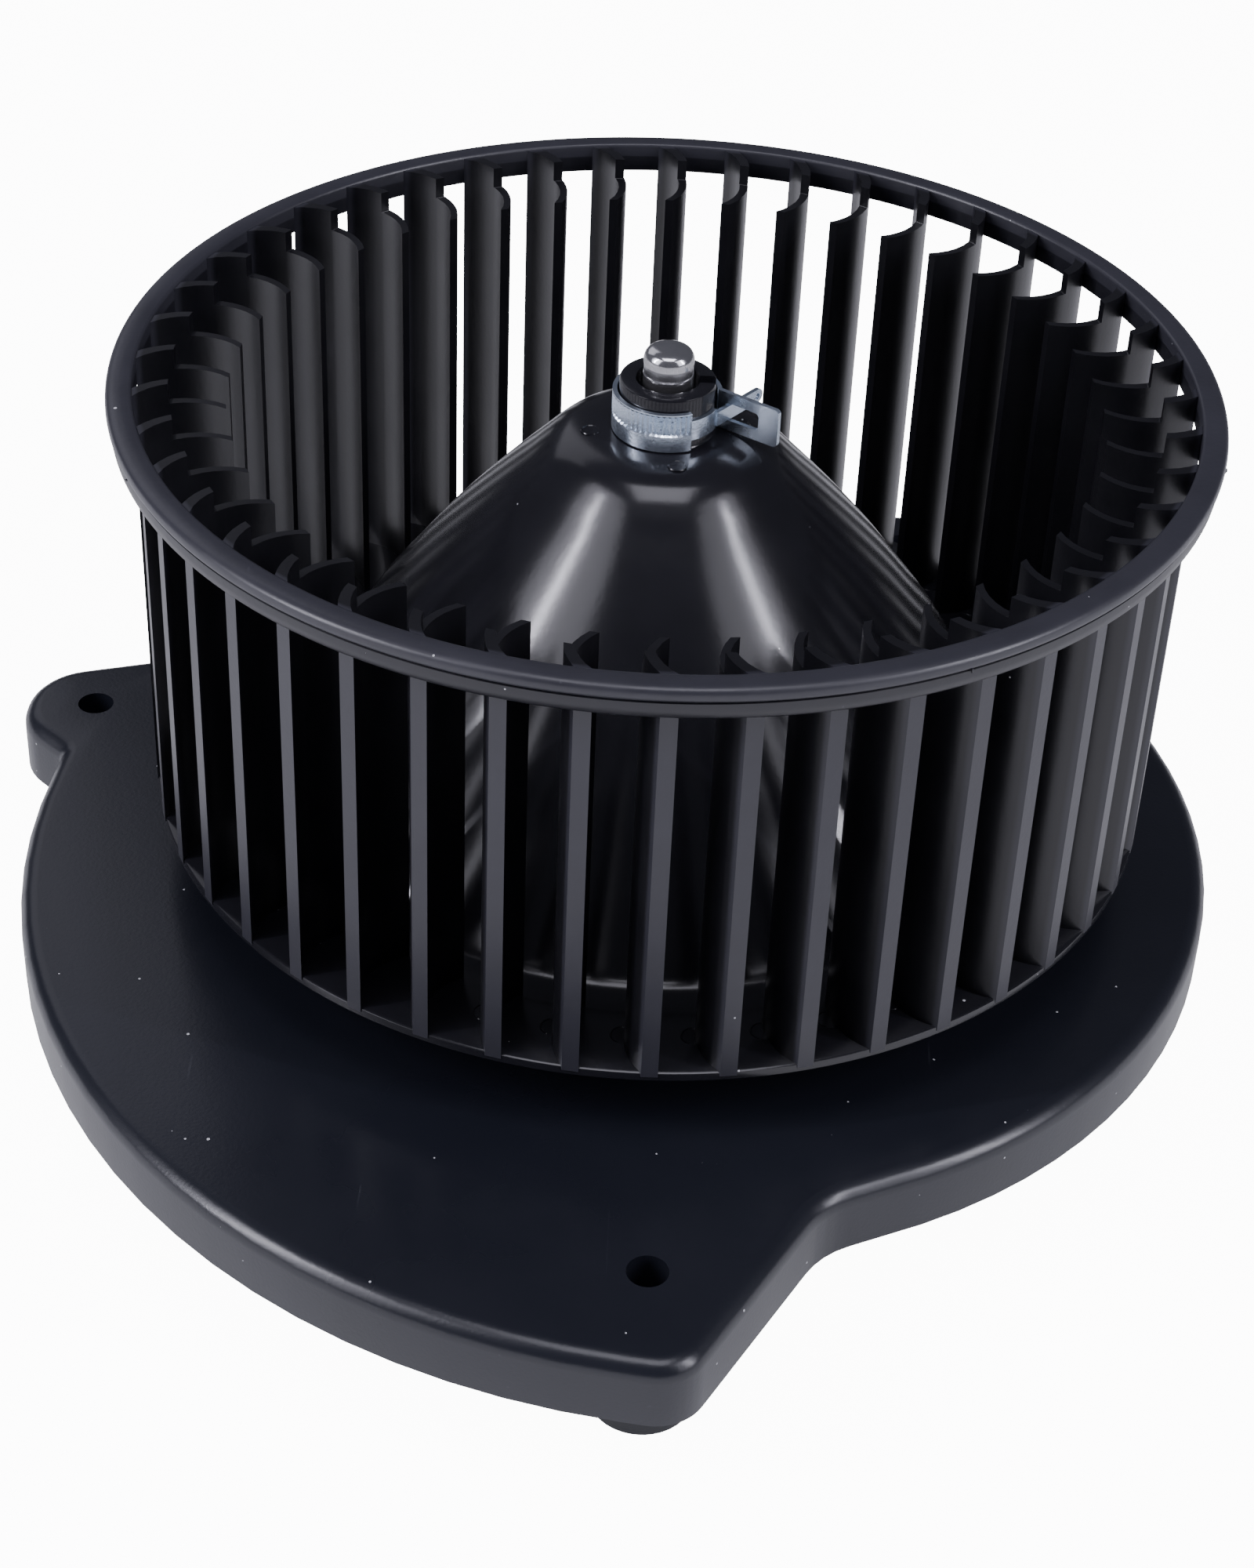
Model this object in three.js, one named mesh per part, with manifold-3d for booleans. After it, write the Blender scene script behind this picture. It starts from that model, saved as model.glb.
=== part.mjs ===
// Heater blower: a DC motor hung in a moulded mounting flange, with a centrifugal wheel clamped on its shaft.
// Millimetres, +Z up along the motor axis. The origin is on that axis, at the level of the three boss feet.
import * as THREE from "three";
import { mergeVertices } from "three/addons/utils/BufferGeometryUtils.js";
import Module from "manifold-3d";

const wasm = await Module();
wasm.setup();

// ---------------------------------------------------------------- driving dimensions
const CLEARANCE = 0.3; // between pieces that are made apart and fitted together
const EPS = 0.6; // how far a cutting tool runs past the face it opens
const JOIN = 0.5; // how far a joined body runs into its neighbour

// Overall sizes that the rest follows.
const CAN_HEIGHT = 66;
const CAN_RADIUS = 31.5;
const RIM_RADIUS = 87;
const FLANGE_RADIUS = 96.5;
const SHAFT_RADIUS = 4;

// Levels, from the boss feet upwards.
const CAP_FOOT = 0;
const CAP_FLOOR = 3;
const CAP_RIM = 9.6;
const CAN_FOOT = 10;
const SKIRT_FOOT = 15;
const TRAY_TOP = 26.5;
const CAN_TOP = CAN_FOOT + CAN_HEIGHT;
const HUB_TOP = CAN_TOP + 6;
const CROWN = HUB_TOP + 21.1;
const COLLAR_TOP = CROWN + 8.8;
const RIM_TOP = CROWN + 9.9;
const SHAFT_TOP = COLLAR_TOP + 5.4;
const WHEEL_FOOT = TRAY_TOP + 12.7;

// Wheel.
const RIM_BORE = RIM_RADIUS - 4.1;
const RIM_HEIGHT = 5;
const RIM_CHAMFER = 0.8;
const BLADES = 44;
const FIRST_BLADE = -0.5; // degrees from +X
const BLADE_INNER = RIM_RADIUS - 18.3;
const BLADE_STEP = RIM_RADIUS - 9.6;
const BLADE_TIP_TOP = RIM_RADIUS - 3.8;
const BLADE_TIP_FOOT = RIM_RADIUS - 4.5;
const BLADE_ARC_OUT = RIM_RADIUS - 12.16; // how far out, and to the side, the centre of a blade's hollow face lies
const BLADE_ARC_SIDE = 10.41;
const HOLLOW_RADIUS = 9.9;
const BACK_RADIUS = 11.3;
const BACK_SHIFT = 0.53; // moves the back face's centre out, so a blade thickens towards its tip
const BLADE_OVERRUN = 1; // how far a blade's bar runs past the row's envelope before it is cut to it
const OUTER_STEP_DROP = 0.4;
const INNER_STEP_DROP = 3.9;
const PLATE_RADIUS = RIM_RADIUS - 4.2;
const PLATE_BORE = BLADE_INNER - 7.2;
const PLATE_THICK = 1.7;
const DOME_WALL = 2;
const COLLAR_RADIUS = SHAFT_RADIUS + 3.6;
const COLLAR_RECESS_RADIUS = SHAFT_RADIUS + 1;
const COLLAR_RECESS_DEPTH = 2.4;
const COLLAR_SLOT = 2.2;
const SLEEVE_LENGTH = 14; // the bored sleeve under the crown

// Mounting flange.
const SWEEP_RADIUS = FLANGE_RADIUS + 23.5;
const SWEEP_X = 15.2;
const SWEEP_Y = -8.5;
const SWEEP_FROM = 174; // the part of the sweep's circle that the outline follows, in degrees
const SWEEP_TO = 263;
const TRAY_WALL = 2.5;
const TRAY_EDGE = 3;
const EAR_RADIUS = 12;
const EAR_ROOT = 6; // fillet where an ear meets the round body
const BOSS_RADIUS = 8;
const BOSS_BORE = 3.15;
const EARS = [
  { name: "left", out: FLANGE_RADIUS + 6.2, angle: 166.4 },
  { name: "front", out: FLANGE_RADIUS + 12.8, angle: 271.9 },
  { name: "back", out: FLANGE_RADIUS + 7.5, angle: 62.6 },
];
const BODY_START = -62; // where the round body leaves the front ear's hollow, in degrees
const BODY_END = 150;
const FRONT_TIP = { x: 6.1, y: -19.5, radius: 8 }; // the front ear's point, from its screw hole
const FRONT_HOLLOW = { x: 26.1, y: 16.4, radius: 15 };
const LEFT_SLOPE = 18; // heading of the left ear's upper edge, in degrees
const LEFT_TIP = { x: -1.05, y: 0.763 }; // its outer corners, in ear radii from its hole
const LEFT_HEEL = { x: -1.055, y: -0.47 };
const LEFT_NOTCH = { x: -3.8, y: -13.85, radius: 2 }; // the hollow between it and the sweep, from its hole
const WELL_WALL = 3;
const WELL_TOP = TRAY_TOP + 17.5;
const WELL_LIP = 2;
const RIBS = 12;
const RIB_THICK = 2;
const RIB_DROP = 2; // how far a rib stops short of the skirt's foot
const POST_RADIUS = 4.5;
const SCREWS = 3;
const FIRST_SCREW = 30;

// Motor.
const SHAFT_FLAT = 0.8 * SHAFT_RADIUS; // how far from the axis the flat on the shaft's free end lies
const SHAFT_CHAMFER = 1.2;
const FLAT_LENGTH = 14;
const CAN_WALL = 1.6;
const CAN_SHOULDER = 3;
const CAN_VENTS = 4;
const VENT_RADIUS = 4;
const ISOLATOR_THICK = 3.4;
const MAGNET_THICK = 8.2;
const MAGNET_SPAN = 140;
const MAGNET_FOOT = 28;
const MAGNET_HEIGHT = CAN_HEIGHT - 26;
const AIR_GAP = 1;
const STACK_FOOT = 33;
const STACK_HEIGHT = CAN_HEIGHT - 36;
const TEETH = 10;
const SLOT_WIDTH = 4.2;
const SLOT_MOUTH = 1.4;
const COIL_END = 6;
const COMMUTATOR_RADIUS = SHAFT_RADIUS + 6;
const COMMUTATOR_FOOT = 14.6;
const COMMUTATOR_TOP = 26;
const COMMUTATOR_SLIT = 0.5;
const BEARING_RADIUS = SHAFT_RADIUS + 3;
const BEARING_HEIGHT = 7;
const CAN_HUB_RADIUS = BEARING_RADIUS + 3;
const WASHER_RADIUS = SHAFT_RADIUS + 2;
const WASHER_THICK = 0.8;
const BRUSH_WIDTH = 6;
const BRUSH_HEIGHT = 8;
const HOLDER_WALL = 0.8;
const SPRING_WIRE = 0.35;
const SPRING_RADIUS = 2.4;
const SPRING_TURNS = 4.5;
const CARD_FOOT = 11.6;
const CARD_THICK = 1.6;
const CARD_GAP = 2.4; // how far the card and the brush holders keep from the commutator
const PEG_RADIUS = 1.8;
const PEGS = 4;
const SCREW_RADIUS = 2;
const SCREW_HEAD_RADIUS = 3.8;
const SCREW_HEAD_HEIGHT = 2.4;
const SCREW_LENGTH = 15;

// Connector on the motor's end cap.
const SOCKET_ANGLE = 180;
const SOCKET_FOOT = 0.6;
const SOCKET_WIDTH = 18;
const SOCKET_HEIGHT = 9;
const SOCKET_LENGTH = 18;
const SOCKET_WALL = 1.6;
const SOCKET_FLOOR = 5;
const TERMINAL_WIDTH = 4.8;
const TERMINAL_THICK = 0.8;
const TERMINAL_SIDE = 4.6; // how far each terminal stands from the socket's middle
const TERMINAL_DEPTH = 4; // how far the terminals stop inside the mouth

// Clamp: a tall band, a narrow band that ends in a tongue, and a tab whose window the tongue passes.
const BAND_THICK = 0.75;
const BAND_HEIGHT = 6.5;
const NARROW_HEIGHT = 3.4;
const NARROW_FROM = -62;
const NARROW_TO = -20;
const TAB = { from: 6, heading: -33, length: 11.2 };
const TONGUE = { from: -21, heading: 52, length: 11.5, height: 2.4 };
const WINDOW = { start: 0.6, length: 7.2, height: 4.2 };

// ---------------------------------------------------------------- what follows from them
const rad = THREE.MathUtils.degToRad;
const CAN_BORE = CAN_RADIUS - CAN_WALL;
const WELL_BORE = CAN_RADIUS + ISOLATOR_THICK + 2 * CLEARANCE;
const WELL_RADIUS = WELL_BORE + WELL_WALL;
const TRAY_UNDER = TRAY_TOP - TRAY_WALL;
const SCREW_CIRCLE = WELL_RADIUS + POST_RADIUS - 1;
const SCREW_ANGLES = spread(SCREWS, FIRST_SCREW);
const MAGNET_OUTER = CAN_BORE - CLEARANCE;
const MAGNET_INNER = MAGNET_OUTER - MAGNET_THICK;
const STACK_RADIUS = MAGNET_INNER - AIR_GAP;
const SLOT_OUTER = STACK_RADIUS - 2.4;
const SLOT_INNER = SHAFT_RADIUS + 5;
const BORE_GAP = SHAFT_RADIUS + CLEARANCE;
const BAND_INNER = COLLAR_RADIUS + CLEARANCE;
const BAND_MIDDLE_RADIUS = BAND_INNER + BAND_THICK / 2;
const BAND_FOOT = CROWN + CLEARANCE;
const BAND_TOP = BAND_FOOT + BAND_HEIGHT;
const SHAFT_FOOT = CAP_FLOOR + WASHER_THICK + 1;
const CARD_TOP = CARD_FOOT + CARD_THICK;
const HOLDER_FOOT = CARD_TOP + CLEARANCE;
const HOLDER_FRONT = COMMUTATOR_RADIUS + CARD_GAP;
const HOLDER_BACK = CAN_BORE - 1.2;
const BRUSH_FOOT = HOLDER_FOOT + HOLDER_WALL + CLEARANCE / 2;
const BRUSH_FACE = COMMUTATOR_RADIUS + CLEARANCE;
const BRUSH_LENGTH = (HOLDER_BACK - BRUSH_FACE) / 2;
const BRUSH_BACK = BRUSH_FACE + BRUSH_LENGTH;

// ---------------------------------------------------------------- helpers
const root = new THREE.Group();

function solid(geometry) {
  const bare = geometry.index ? geometry.toNonIndexed() : geometry.clone();
  bare.deleteAttribute("normal");
  bare.deleteAttribute("uv");
  const merged = mergeVertices(bare, 1e-4);
  const vertProperties = merged.attributes.position.array;
  const triVerts = new Uint32Array(merged.index.array);
  return new wasm.Manifold(new wasm.Mesh({ numProp: 3, vertProperties, triVerts }));
}

function geometryOf(body) {
  const mesh = body.getMesh();
  const geometry = new THREE.BufferGeometry();
  geometry.setAttribute("position", new THREE.BufferAttribute(new Float32Array(mesh.vertProperties), 3));
  geometry.setIndex(new THREE.BufferAttribute(new Uint32Array(mesh.triVerts), 1));
  return geometry;
}

function piece(name, body, look) {
  const mesh = new THREE.Mesh(geometryOf(body), new THREE.MeshStandardMaterial(look));
  mesh.name = name;
  root.add(mesh);
}

// A body of revolution about Z from [radius, level] points, given anticlockwise in that plane.
function turned(points, sides = 24) {
  const profile = points.map(([r, z]) => new THREE.Vector2(r, z));
  const closed = points[0][0] > 0 || points[points.length - 1][0] > 0;
  if (closed) profile.push(profile[0].clone());
  return solid(new THREE.LatheGeometry(profile, sides).rotateX(Math.PI / 2));
}

function ring(inner, outer, foot, top, sides = 24) {
  return turned([[inner, foot], [outer, foot], [outer, top], [inner, top]], sides);
}

function disc(radius, foot, top, sides = 24) {
  return turned([[0, foot], [radius, foot], [radius, top], [0, top]], sides);
}

// A block with its middle at x, y and its underside at foot, turned about its middle.
function block(width, depth, foot, top, x = 0, y = 0, turn = 0) {
  const geometry = new THREE.BoxGeometry(width, depth, top - foot);
  geometry.rotateZ(rad(turn)).translate(x, y, (foot + top) / 2);
  return solid(geometry);
}

function raised(shape, foot, top, curveSegments = 6) {
  const geometry = new THREE.ExtrudeGeometry(shape, { depth: top - foot, bevelEnabled: false, curveSegments });
  return solid(geometry.translate(0, 0, foot));
}

// Angles that share a full turn evenly, from a first one.
function spread(count, first = 0) {
  return Array.from({ length: count }, (_, i) => first + (360 / count) * i);
}

function at(out, angle) {
  return [out * Math.cos(rad(angle)), out * Math.sin(rad(angle))];
}

function placed(body, out, angle) {
  return body.translate([...at(out, angle), 0]);
}

function joined(bodies) {
  return bodies.reduce((sum, body) => sum.add(body));
}

function without(body, cutters) {
  return cutters.reduce((rest, cutter) => rest.subtract(cutter), body);
}

// A closed outline through corners [x, y, radius], each rounded with an arc of its own radius.
function rounded(corners, stepAngle = 9) {
  const outline = [];
  corners.forEach(([x, y, radius], i) => {
    const corner = new THREE.Vector2(x, y);
    const before = new THREE.Vector2(...corners.at(i - 1).slice(0, 2)).sub(corner).normalize();
    const after = new THREE.Vector2(...corners[(i + 1) % corners.length].slice(0, 2)).sub(corner).normalize();
    if (!radius) {
      outline.push(corner);
      return;
    }
    const half = Math.acos(THREE.MathUtils.clamp(before.dot(after), -1, 1)) / 2;
    const turnsLeft = -Math.sign(before.cross(after));
    const middle = before.clone().add(after).normalize().multiplyScalar(radius / Math.sin(half)).add(corner);
    const start = before.multiplyScalar(radius / Math.tan(half)).add(corner).sub(middle);
    const turn = (Math.PI - 2 * half) * turnsLeft;
    const steps = Math.max(2, Math.ceil(Math.abs(turn) / rad(stepAngle)));
    for (let k = 0; k <= steps; k++) {
      outline.push(start.clone().rotateAround(new THREE.Vector2(), (turn * k) / steps).add(middle));
    }
  });
  const apart = outline.filter((point, i) => point.distanceTo(outline.at(i - 1)) > 0.02);
  return new THREE.Shape(apart);
}

// Corners on an arc, for an outline that follows it.
function along(x, y, radius, from, to, step = 4) {
  const count = Math.round((to - from) / step);
  return Array.from({ length: count + 1 }, (_, i) => {
    const angle = rad(from + ((to - from) * i) / count);
    return [x + radius * Math.cos(angle), y + radius * Math.sin(angle), 0];
  });
}

// Where a ray that starts outside a circle about the axis, at x, y, and runs at an angle first meets it.
function reach(x, y, angle, radius) {
  const [dx, dy] = at(1, angle);
  const half = x * dx + y * dy;
  const run = -half - Math.sqrt(half * half - x * x - y * y + radius * radius);
  return [x + run * dx, y + run * dy];
}

// ---------------------------------------------------------------- mounting flange
// The outline, pulled in by an inset: a round body, a wider sweep on one side, and three ears.
function flangeOutline(inset) {
  const body = FLANGE_RADIUS - inset;
  const ear = EAR_RADIUS - inset;
  const root = EAR_ROOT + inset;
  const [left, front, back] = EARS.map(({ out, angle }) => at(out, angle));
  const backAngle = EARS[2].angle;
  const [sideX, sideY] = at(ear, backAngle - 90);
  const [endX, endY] = at(ear, backAngle);
  const near = reach(back[0] + sideX, back[1] + sideY, backAngle + 180, body);
  const far = reach(back[0] - sideX, back[1] - sideY, backAngle + 180, body);
  const nearAngle = THREE.MathUtils.radToDeg(Math.atan2(near[1], near[0]));
  const farAngle = THREE.MathUtils.radToDeg(Math.atan2(far[1], far[0]));
  const [tangentX, tangentY] = at(1.05 * ear, LEFT_SLOPE + 90);
  const leftRoot = reach(left[0] + tangentX, left[1] + tangentY, LEFT_SLOPE, body);
  const notchX = left[0] + LEFT_NOTCH.x + inset;
  const notchY = left[1] + LEFT_NOTCH.y + 0.45 * inset;
  const pull = 0.9 * inset; // along X, where an edge slants
  return rounded([
    ...along(0, 0, body, BODY_START, nearAngle - EAR_ROOT),
    [...near, root],
    [back[0] + sideX + endX, back[1] + sideY + endY, ear],
    [back[0] - sideX + endX, back[1] - sideY + endY, ear],
    [...far, root],
    ...along(0, 0, body, farAngle + EAR_ROOT, BODY_END),
    [...leftRoot, root],
    [left[0] + ear * LEFT_TIP.x, left[1] + ear * LEFT_TIP.y, ear],
    [left[0] + ear * LEFT_HEEL.x, left[1] + ear * LEFT_HEEL.y, ear],
    [notchX, notchY, LEFT_NOTCH.radius + inset],
    ...along(SWEEP_X, SWEEP_Y, SWEEP_RADIUS - inset, SWEEP_FROM, SWEEP_TO),
    [front[0] + FRONT_TIP.x - pull, front[1] + FRONT_TIP.y + inset, FRONT_TIP.radius - inset],
    [front[0] + FRONT_HOLLOW.x - pull, front[1] + FRONT_HOLLOW.y + 0.6 * inset, FRONT_HOLLOW.radius + inset],
  ]);
}

function flangeShell() {
  const outer = new THREE.ExtrudeGeometry(flangeOutline(0), {
    depth: TRAY_TOP - SKIRT_FOOT,
    bevelThickness: TRAY_EDGE,
    bevelSize: TRAY_EDGE,
    bevelOffset: -TRAY_EDGE,
    bevelSegments: 3,
  });
  const shell = solid(outer.translate(0, 0, SKIRT_FOOT - TRAY_EDGE));
  const foot = SKIRT_FOOT - 2 * TRAY_EDGE;
  const cutoff = disc(2 * SWEEP_RADIUS, foot, SKIRT_FOOT, 16);
  const hollow = raised(flangeOutline(TRAY_WALL), foot, TRAY_UNDER);
  return without(shell, [cutoff, hollow]);
}

function flangeRib(angle) {
  const length = FLANGE_RADIUS - TRAY_WALL - WELL_RADIUS + 2 * JOIN;
  const middle = WELL_RADIUS - JOIN + length / 2;
  return block(length, RIB_THICK, SKIRT_FOOT + RIB_DROP, TRAY_UNDER + JOIN, ...at(middle, angle), angle);
}

function mountingFlange() {
  const well = ring(WELL_BORE, WELL_RADIUS, CAN_FOOT, WELL_TOP);
  const lip = ring(CAN_RADIUS + CLEARANCE, WELL_BORE + JOIN, WELL_TOP - WELL_LIP, WELL_TOP);
  const boss = disc(BOSS_RADIUS, CAP_FOOT, TRAY_TOP - TRAY_WALL / 2);
  const drill = disc(BOSS_BORE, -EPS, TRAY_TOP + EPS, 20);
  const post = disc(POST_RADIUS, CAN_FOOT, TRAY_UNDER + JOIN, 16);
  const thread = disc(SCREW_RADIUS + CLEARANCE, CAN_FOOT - EPS, TRAY_UNDER - 1, 16);
  const bosses = EARS.map(({ out, angle }) => placed(boss, out, angle));
  const holes = EARS.map(({ out, angle }) => placed(drill, out, angle));
  const posts = SCREW_ANGLES.map((angle) => placed(post, SCREW_CIRCLE, angle));
  const threads = SCREW_ANGLES.map((angle) => placed(thread, SCREW_CIRCLE, angle));
  const ribs = spread(RIBS, 360 / RIBS / 2).map(flangeRib);
  const opening = disc(WELL_BORE, SKIRT_FOOT, TRAY_TOP + EPS);
  const shell = flangeShell().subtract(opening);
  return without(joined([shell, well, lip, ...bosses, ...posts, ...ribs]), [...holes, ...threads]);
}

// ---------------------------------------------------------------- blower wheel
// The direction, from an arc's centre, of the point where the arc meets a circle about the wheel's axis.
function meets(centreX, centreY, radius, wheelRadius) {
  const reachOut = Math.hypot(centreX, centreY);
  const cosine = (wheelRadius ** 2 - reachOut ** 2 - radius ** 2) / (2 * reachOut * radius);
  return Math.atan2(centreY, centreX) - Math.acos(cosine);
}

function bladeBar() {
  const inner = BLADE_INNER - BLADE_OVERRUN;
  const outer = BLADE_TIP_TOP + BLADE_OVERRUN;
  const backX = BLADE_ARC_OUT + BACK_SHIFT;
  const shape = new THREE.Shape();
  const hollow = [BLADE_ARC_OUT, BLADE_ARC_SIDE, HOLLOW_RADIUS];
  const back = [backX, BLADE_ARC_SIDE, BACK_RADIUS];
  shape.absarc(...back, meets(...back, inner), meets(...back, outer), false);
  shape.absarc(...hollow, meets(...hollow, outer), meets(...hollow, inner), true);
  return raised(shape, WHEEL_FOOT + PLATE_THICK / 2, RIM_TOP, 3);
}

function bladeRow() {
  const bar = bladeBar();
  const bars = spread(BLADES, FIRST_BLADE).map((angle) => bar.rotate([0, 0, angle]));
  const foot = WHEEL_FOOT + PLATE_THICK / 2;
  const envelope = turned([
    [BLADE_INNER + 2, foot],
    [BLADE_TIP_FOOT, foot],
    [BLADE_TIP_TOP, RIM_TOP - OUTER_STEP_DROP],
    [BLADE_STEP, RIM_TOP - OUTER_STEP_DROP],
    [BLADE_STEP, RIM_TOP - INNER_STEP_DROP],
    [BLADE_INNER, RIM_TOP - INNER_STEP_DROP],
    [BLADE_INNER, foot + 5],
  ], BLADES);
  return joined(bars).intersect(envelope);
}

// The dome's outer line, from the collar down to the plate: how far out, as a share of the way to the blades, and
// how far down from the crown, as a share of the way to the plate.
const DOME_LINE = [
  [0.175, 0.002],
  [0.223, 0.013],
  [0.256, 0.034],
  [0.288, 0.064],
  [0.387, 0.185],
  [0.553, 0.4],
  [0.754, 0.716],
  [0.881, 0.924],
  [0.932, 0.981],
  [1.012, 1],
];

function domeAndPlate() {
  const plateTop = WHEEL_FOOT + PLATE_THICK;
  const outside = DOME_LINE.map(([share, down]) => [share * BLADE_INNER, CROWN - down * (CROWN - plateTop)]);
  const shell = [outside[1], outside[3], outside[5], outside[7]];
  const inside = shell.map(([r, z]) => [r - DOME_WALL * 0.75, z - DOME_WALL * 0.75]);
  const sleeveRadius = COLLAR_RADIUS + 1;
  const recessFloor = COLLAR_TOP - COLLAR_RECESS_DEPTH;
  return turned([
    [BORE_GAP, CROWN - SLEEVE_LENGTH],
    [sleeveRadius, CROWN - SLEEVE_LENGTH],
    [sleeveRadius, CROWN - DOME_WALL],
    ...inside,
    [PLATE_BORE, WHEEL_FOOT],
    [PLATE_RADIUS, WHEEL_FOOT],
    [PLATE_RADIUS, plateTop],
    ...outside.reverse(),
    [COLLAR_RADIUS, CROWN],
    [COLLAR_RADIUS, COLLAR_TOP],
    [COLLAR_RECESS_RADIUS, COLLAR_TOP],
    [COLLAR_RECESS_RADIUS, recessFloor],
    [BORE_GAP, recessFloor],
  ], BLADES);
}

function blowerWheel() {
  const rim = turned([
    [RIM_BORE, RIM_TOP - RIM_HEIGHT],
    [RIM_RADIUS - RIM_CHAMFER, RIM_TOP - RIM_HEIGHT],
    [RIM_RADIUS, RIM_TOP - RIM_HEIGHT + RIM_CHAMFER],
    [RIM_RADIUS, RIM_TOP - RIM_CHAMFER],
    [RIM_RADIUS - RIM_CHAMFER, RIM_TOP],
    [RIM_BORE, RIM_TOP],
  ], 2 * BLADES);
  const slotFrom = COLLAR_RECESS_RADIUS - EPS;
  const slotLength = COLLAR_RADIUS + EPS - slotFrom;
  const slot = block(slotLength, COLLAR_SLOT, CROWN + JOIN, COLLAR_TOP + EPS, slotFrom + slotLength / 2, 0);
  return without(joined([domeAndPlate(), bladeRow(), rim]), [slot]);
}

// ---------------------------------------------------------------- clamp
// A strip that stands on edge and runs from a start point along a heading.
function strip([x, y], heading, length, foot, top, thick = BAND_THICK) {
  const [dx, dy] = at(length / 2, heading);
  return block(length, thick, foot, top, x + dx, y + dy, heading);
}

// A wedge about the axis, for trimming a stretch of the band.
function wedge(from, to, foot, top) {
  const shape = new THREE.Shape([new THREE.Vector2(0, 0)]);
  shape.absarc(0, 0, BAND_INNER + BAND_THICK + 2, rad(from), rad(to), false);
  return raised(shape, foot, top, 4);
}

function springClamp() {
  const middle = (BAND_FOOT + BAND_TOP) / 2;
  const band = ring(BAND_INNER, BAND_INNER + BAND_THICK, BAND_FOOT, BAND_TOP);
  const trimmed = without(band, [
    wedge(NARROW_FROM, NARROW_TO, BAND_FOOT - EPS, middle - NARROW_HEIGHT / 2),
    wedge(NARROW_FROM, NARROW_TO, middle + NARROW_HEIGHT / 2, BAND_TOP + EPS),
    wedge(NARROW_TO, TAB.from, BAND_FOOT - EPS, BAND_TOP + EPS),
  ]);
  const tabRoot = at(BAND_MIDDLE_RADIUS, TAB.from);
  const tab = strip(tabRoot, TAB.heading, TAB.length, BAND_FOOT, BAND_TOP);
  const [startX, startY] = at(WINDOW.start, TAB.heading);
  const windowRoot = [tabRoot[0] + startX, tabRoot[1] + startY];
  const low = middle - WINDOW.height / 2;
  const window = strip(windowRoot, TAB.heading, WINDOW.length, low, low + WINDOW.height, 2 * BAND_THICK);
  const tongueRoot = at(BAND_MIDDLE_RADIUS, TONGUE.from);
  const tongueFoot = middle - TONGUE.height / 2;
  const tongue = strip(tongueRoot, TONGUE.heading, TONGUE.length, tongueFoot, tongueFoot + TONGUE.height);
  return joined([trimmed, tab.subtract(window), tongue]);
}

// ---------------------------------------------------------------- motor
function motorShaft() {
  const shaft = turned([
    [0, SHAFT_FOOT],
    [SHAFT_RADIUS, SHAFT_FOOT],
    [SHAFT_RADIUS, SHAFT_TOP - SHAFT_CHAMFER],
    [SHAFT_RADIUS - SHAFT_CHAMFER, SHAFT_TOP],
    [0, SHAFT_TOP],
  ], 32);
  const width = 2 * (SHAFT_RADIUS + EPS);
  const flat = block(width, width, SHAFT_TOP - FLAT_LENGTH, SHAFT_TOP + EPS, SHAFT_FLAT + width / 2, 0);
  return shaft.subtract(flat);
}

function motorCan() {
  const throat = BORE_GAP + EPS;
  const bearingSeat = BEARING_RADIUS + CLEARANCE;
  const shell = turned([
    [CAN_BORE, CAN_FOOT],
    [CAN_RADIUS, CAN_FOOT],
    [CAN_RADIUS, CAN_TOP - CAN_SHOULDER],
    [CAN_RADIUS - CAN_SHOULDER, CAN_TOP],
    [CAN_HUB_RADIUS, CAN_TOP],
    [CAN_HUB_RADIUS - 1, HUB_TOP],
    [throat, HUB_TOP],
    [throat, HUB_TOP - CAN_WALL],
    [bearingSeat, HUB_TOP - CAN_WALL],
    [bearingSeat, CAN_TOP - CAN_WALL],
    [CAN_BORE - 2, CAN_TOP - CAN_WALL],
    [CAN_BORE, CAN_TOP - CAN_WALL - 2],
  ]);
  const vent = disc(VENT_RADIUS, CAN_TOP - 2 * CAN_WALL, CAN_TOP + EPS, 16);
  const between = (CAN_HUB_RADIUS + CAN_RADIUS) / 2;
  return without(shell, spread(CAN_VENTS, 45).map((angle) => placed(vent, between, angle)));
}

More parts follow.
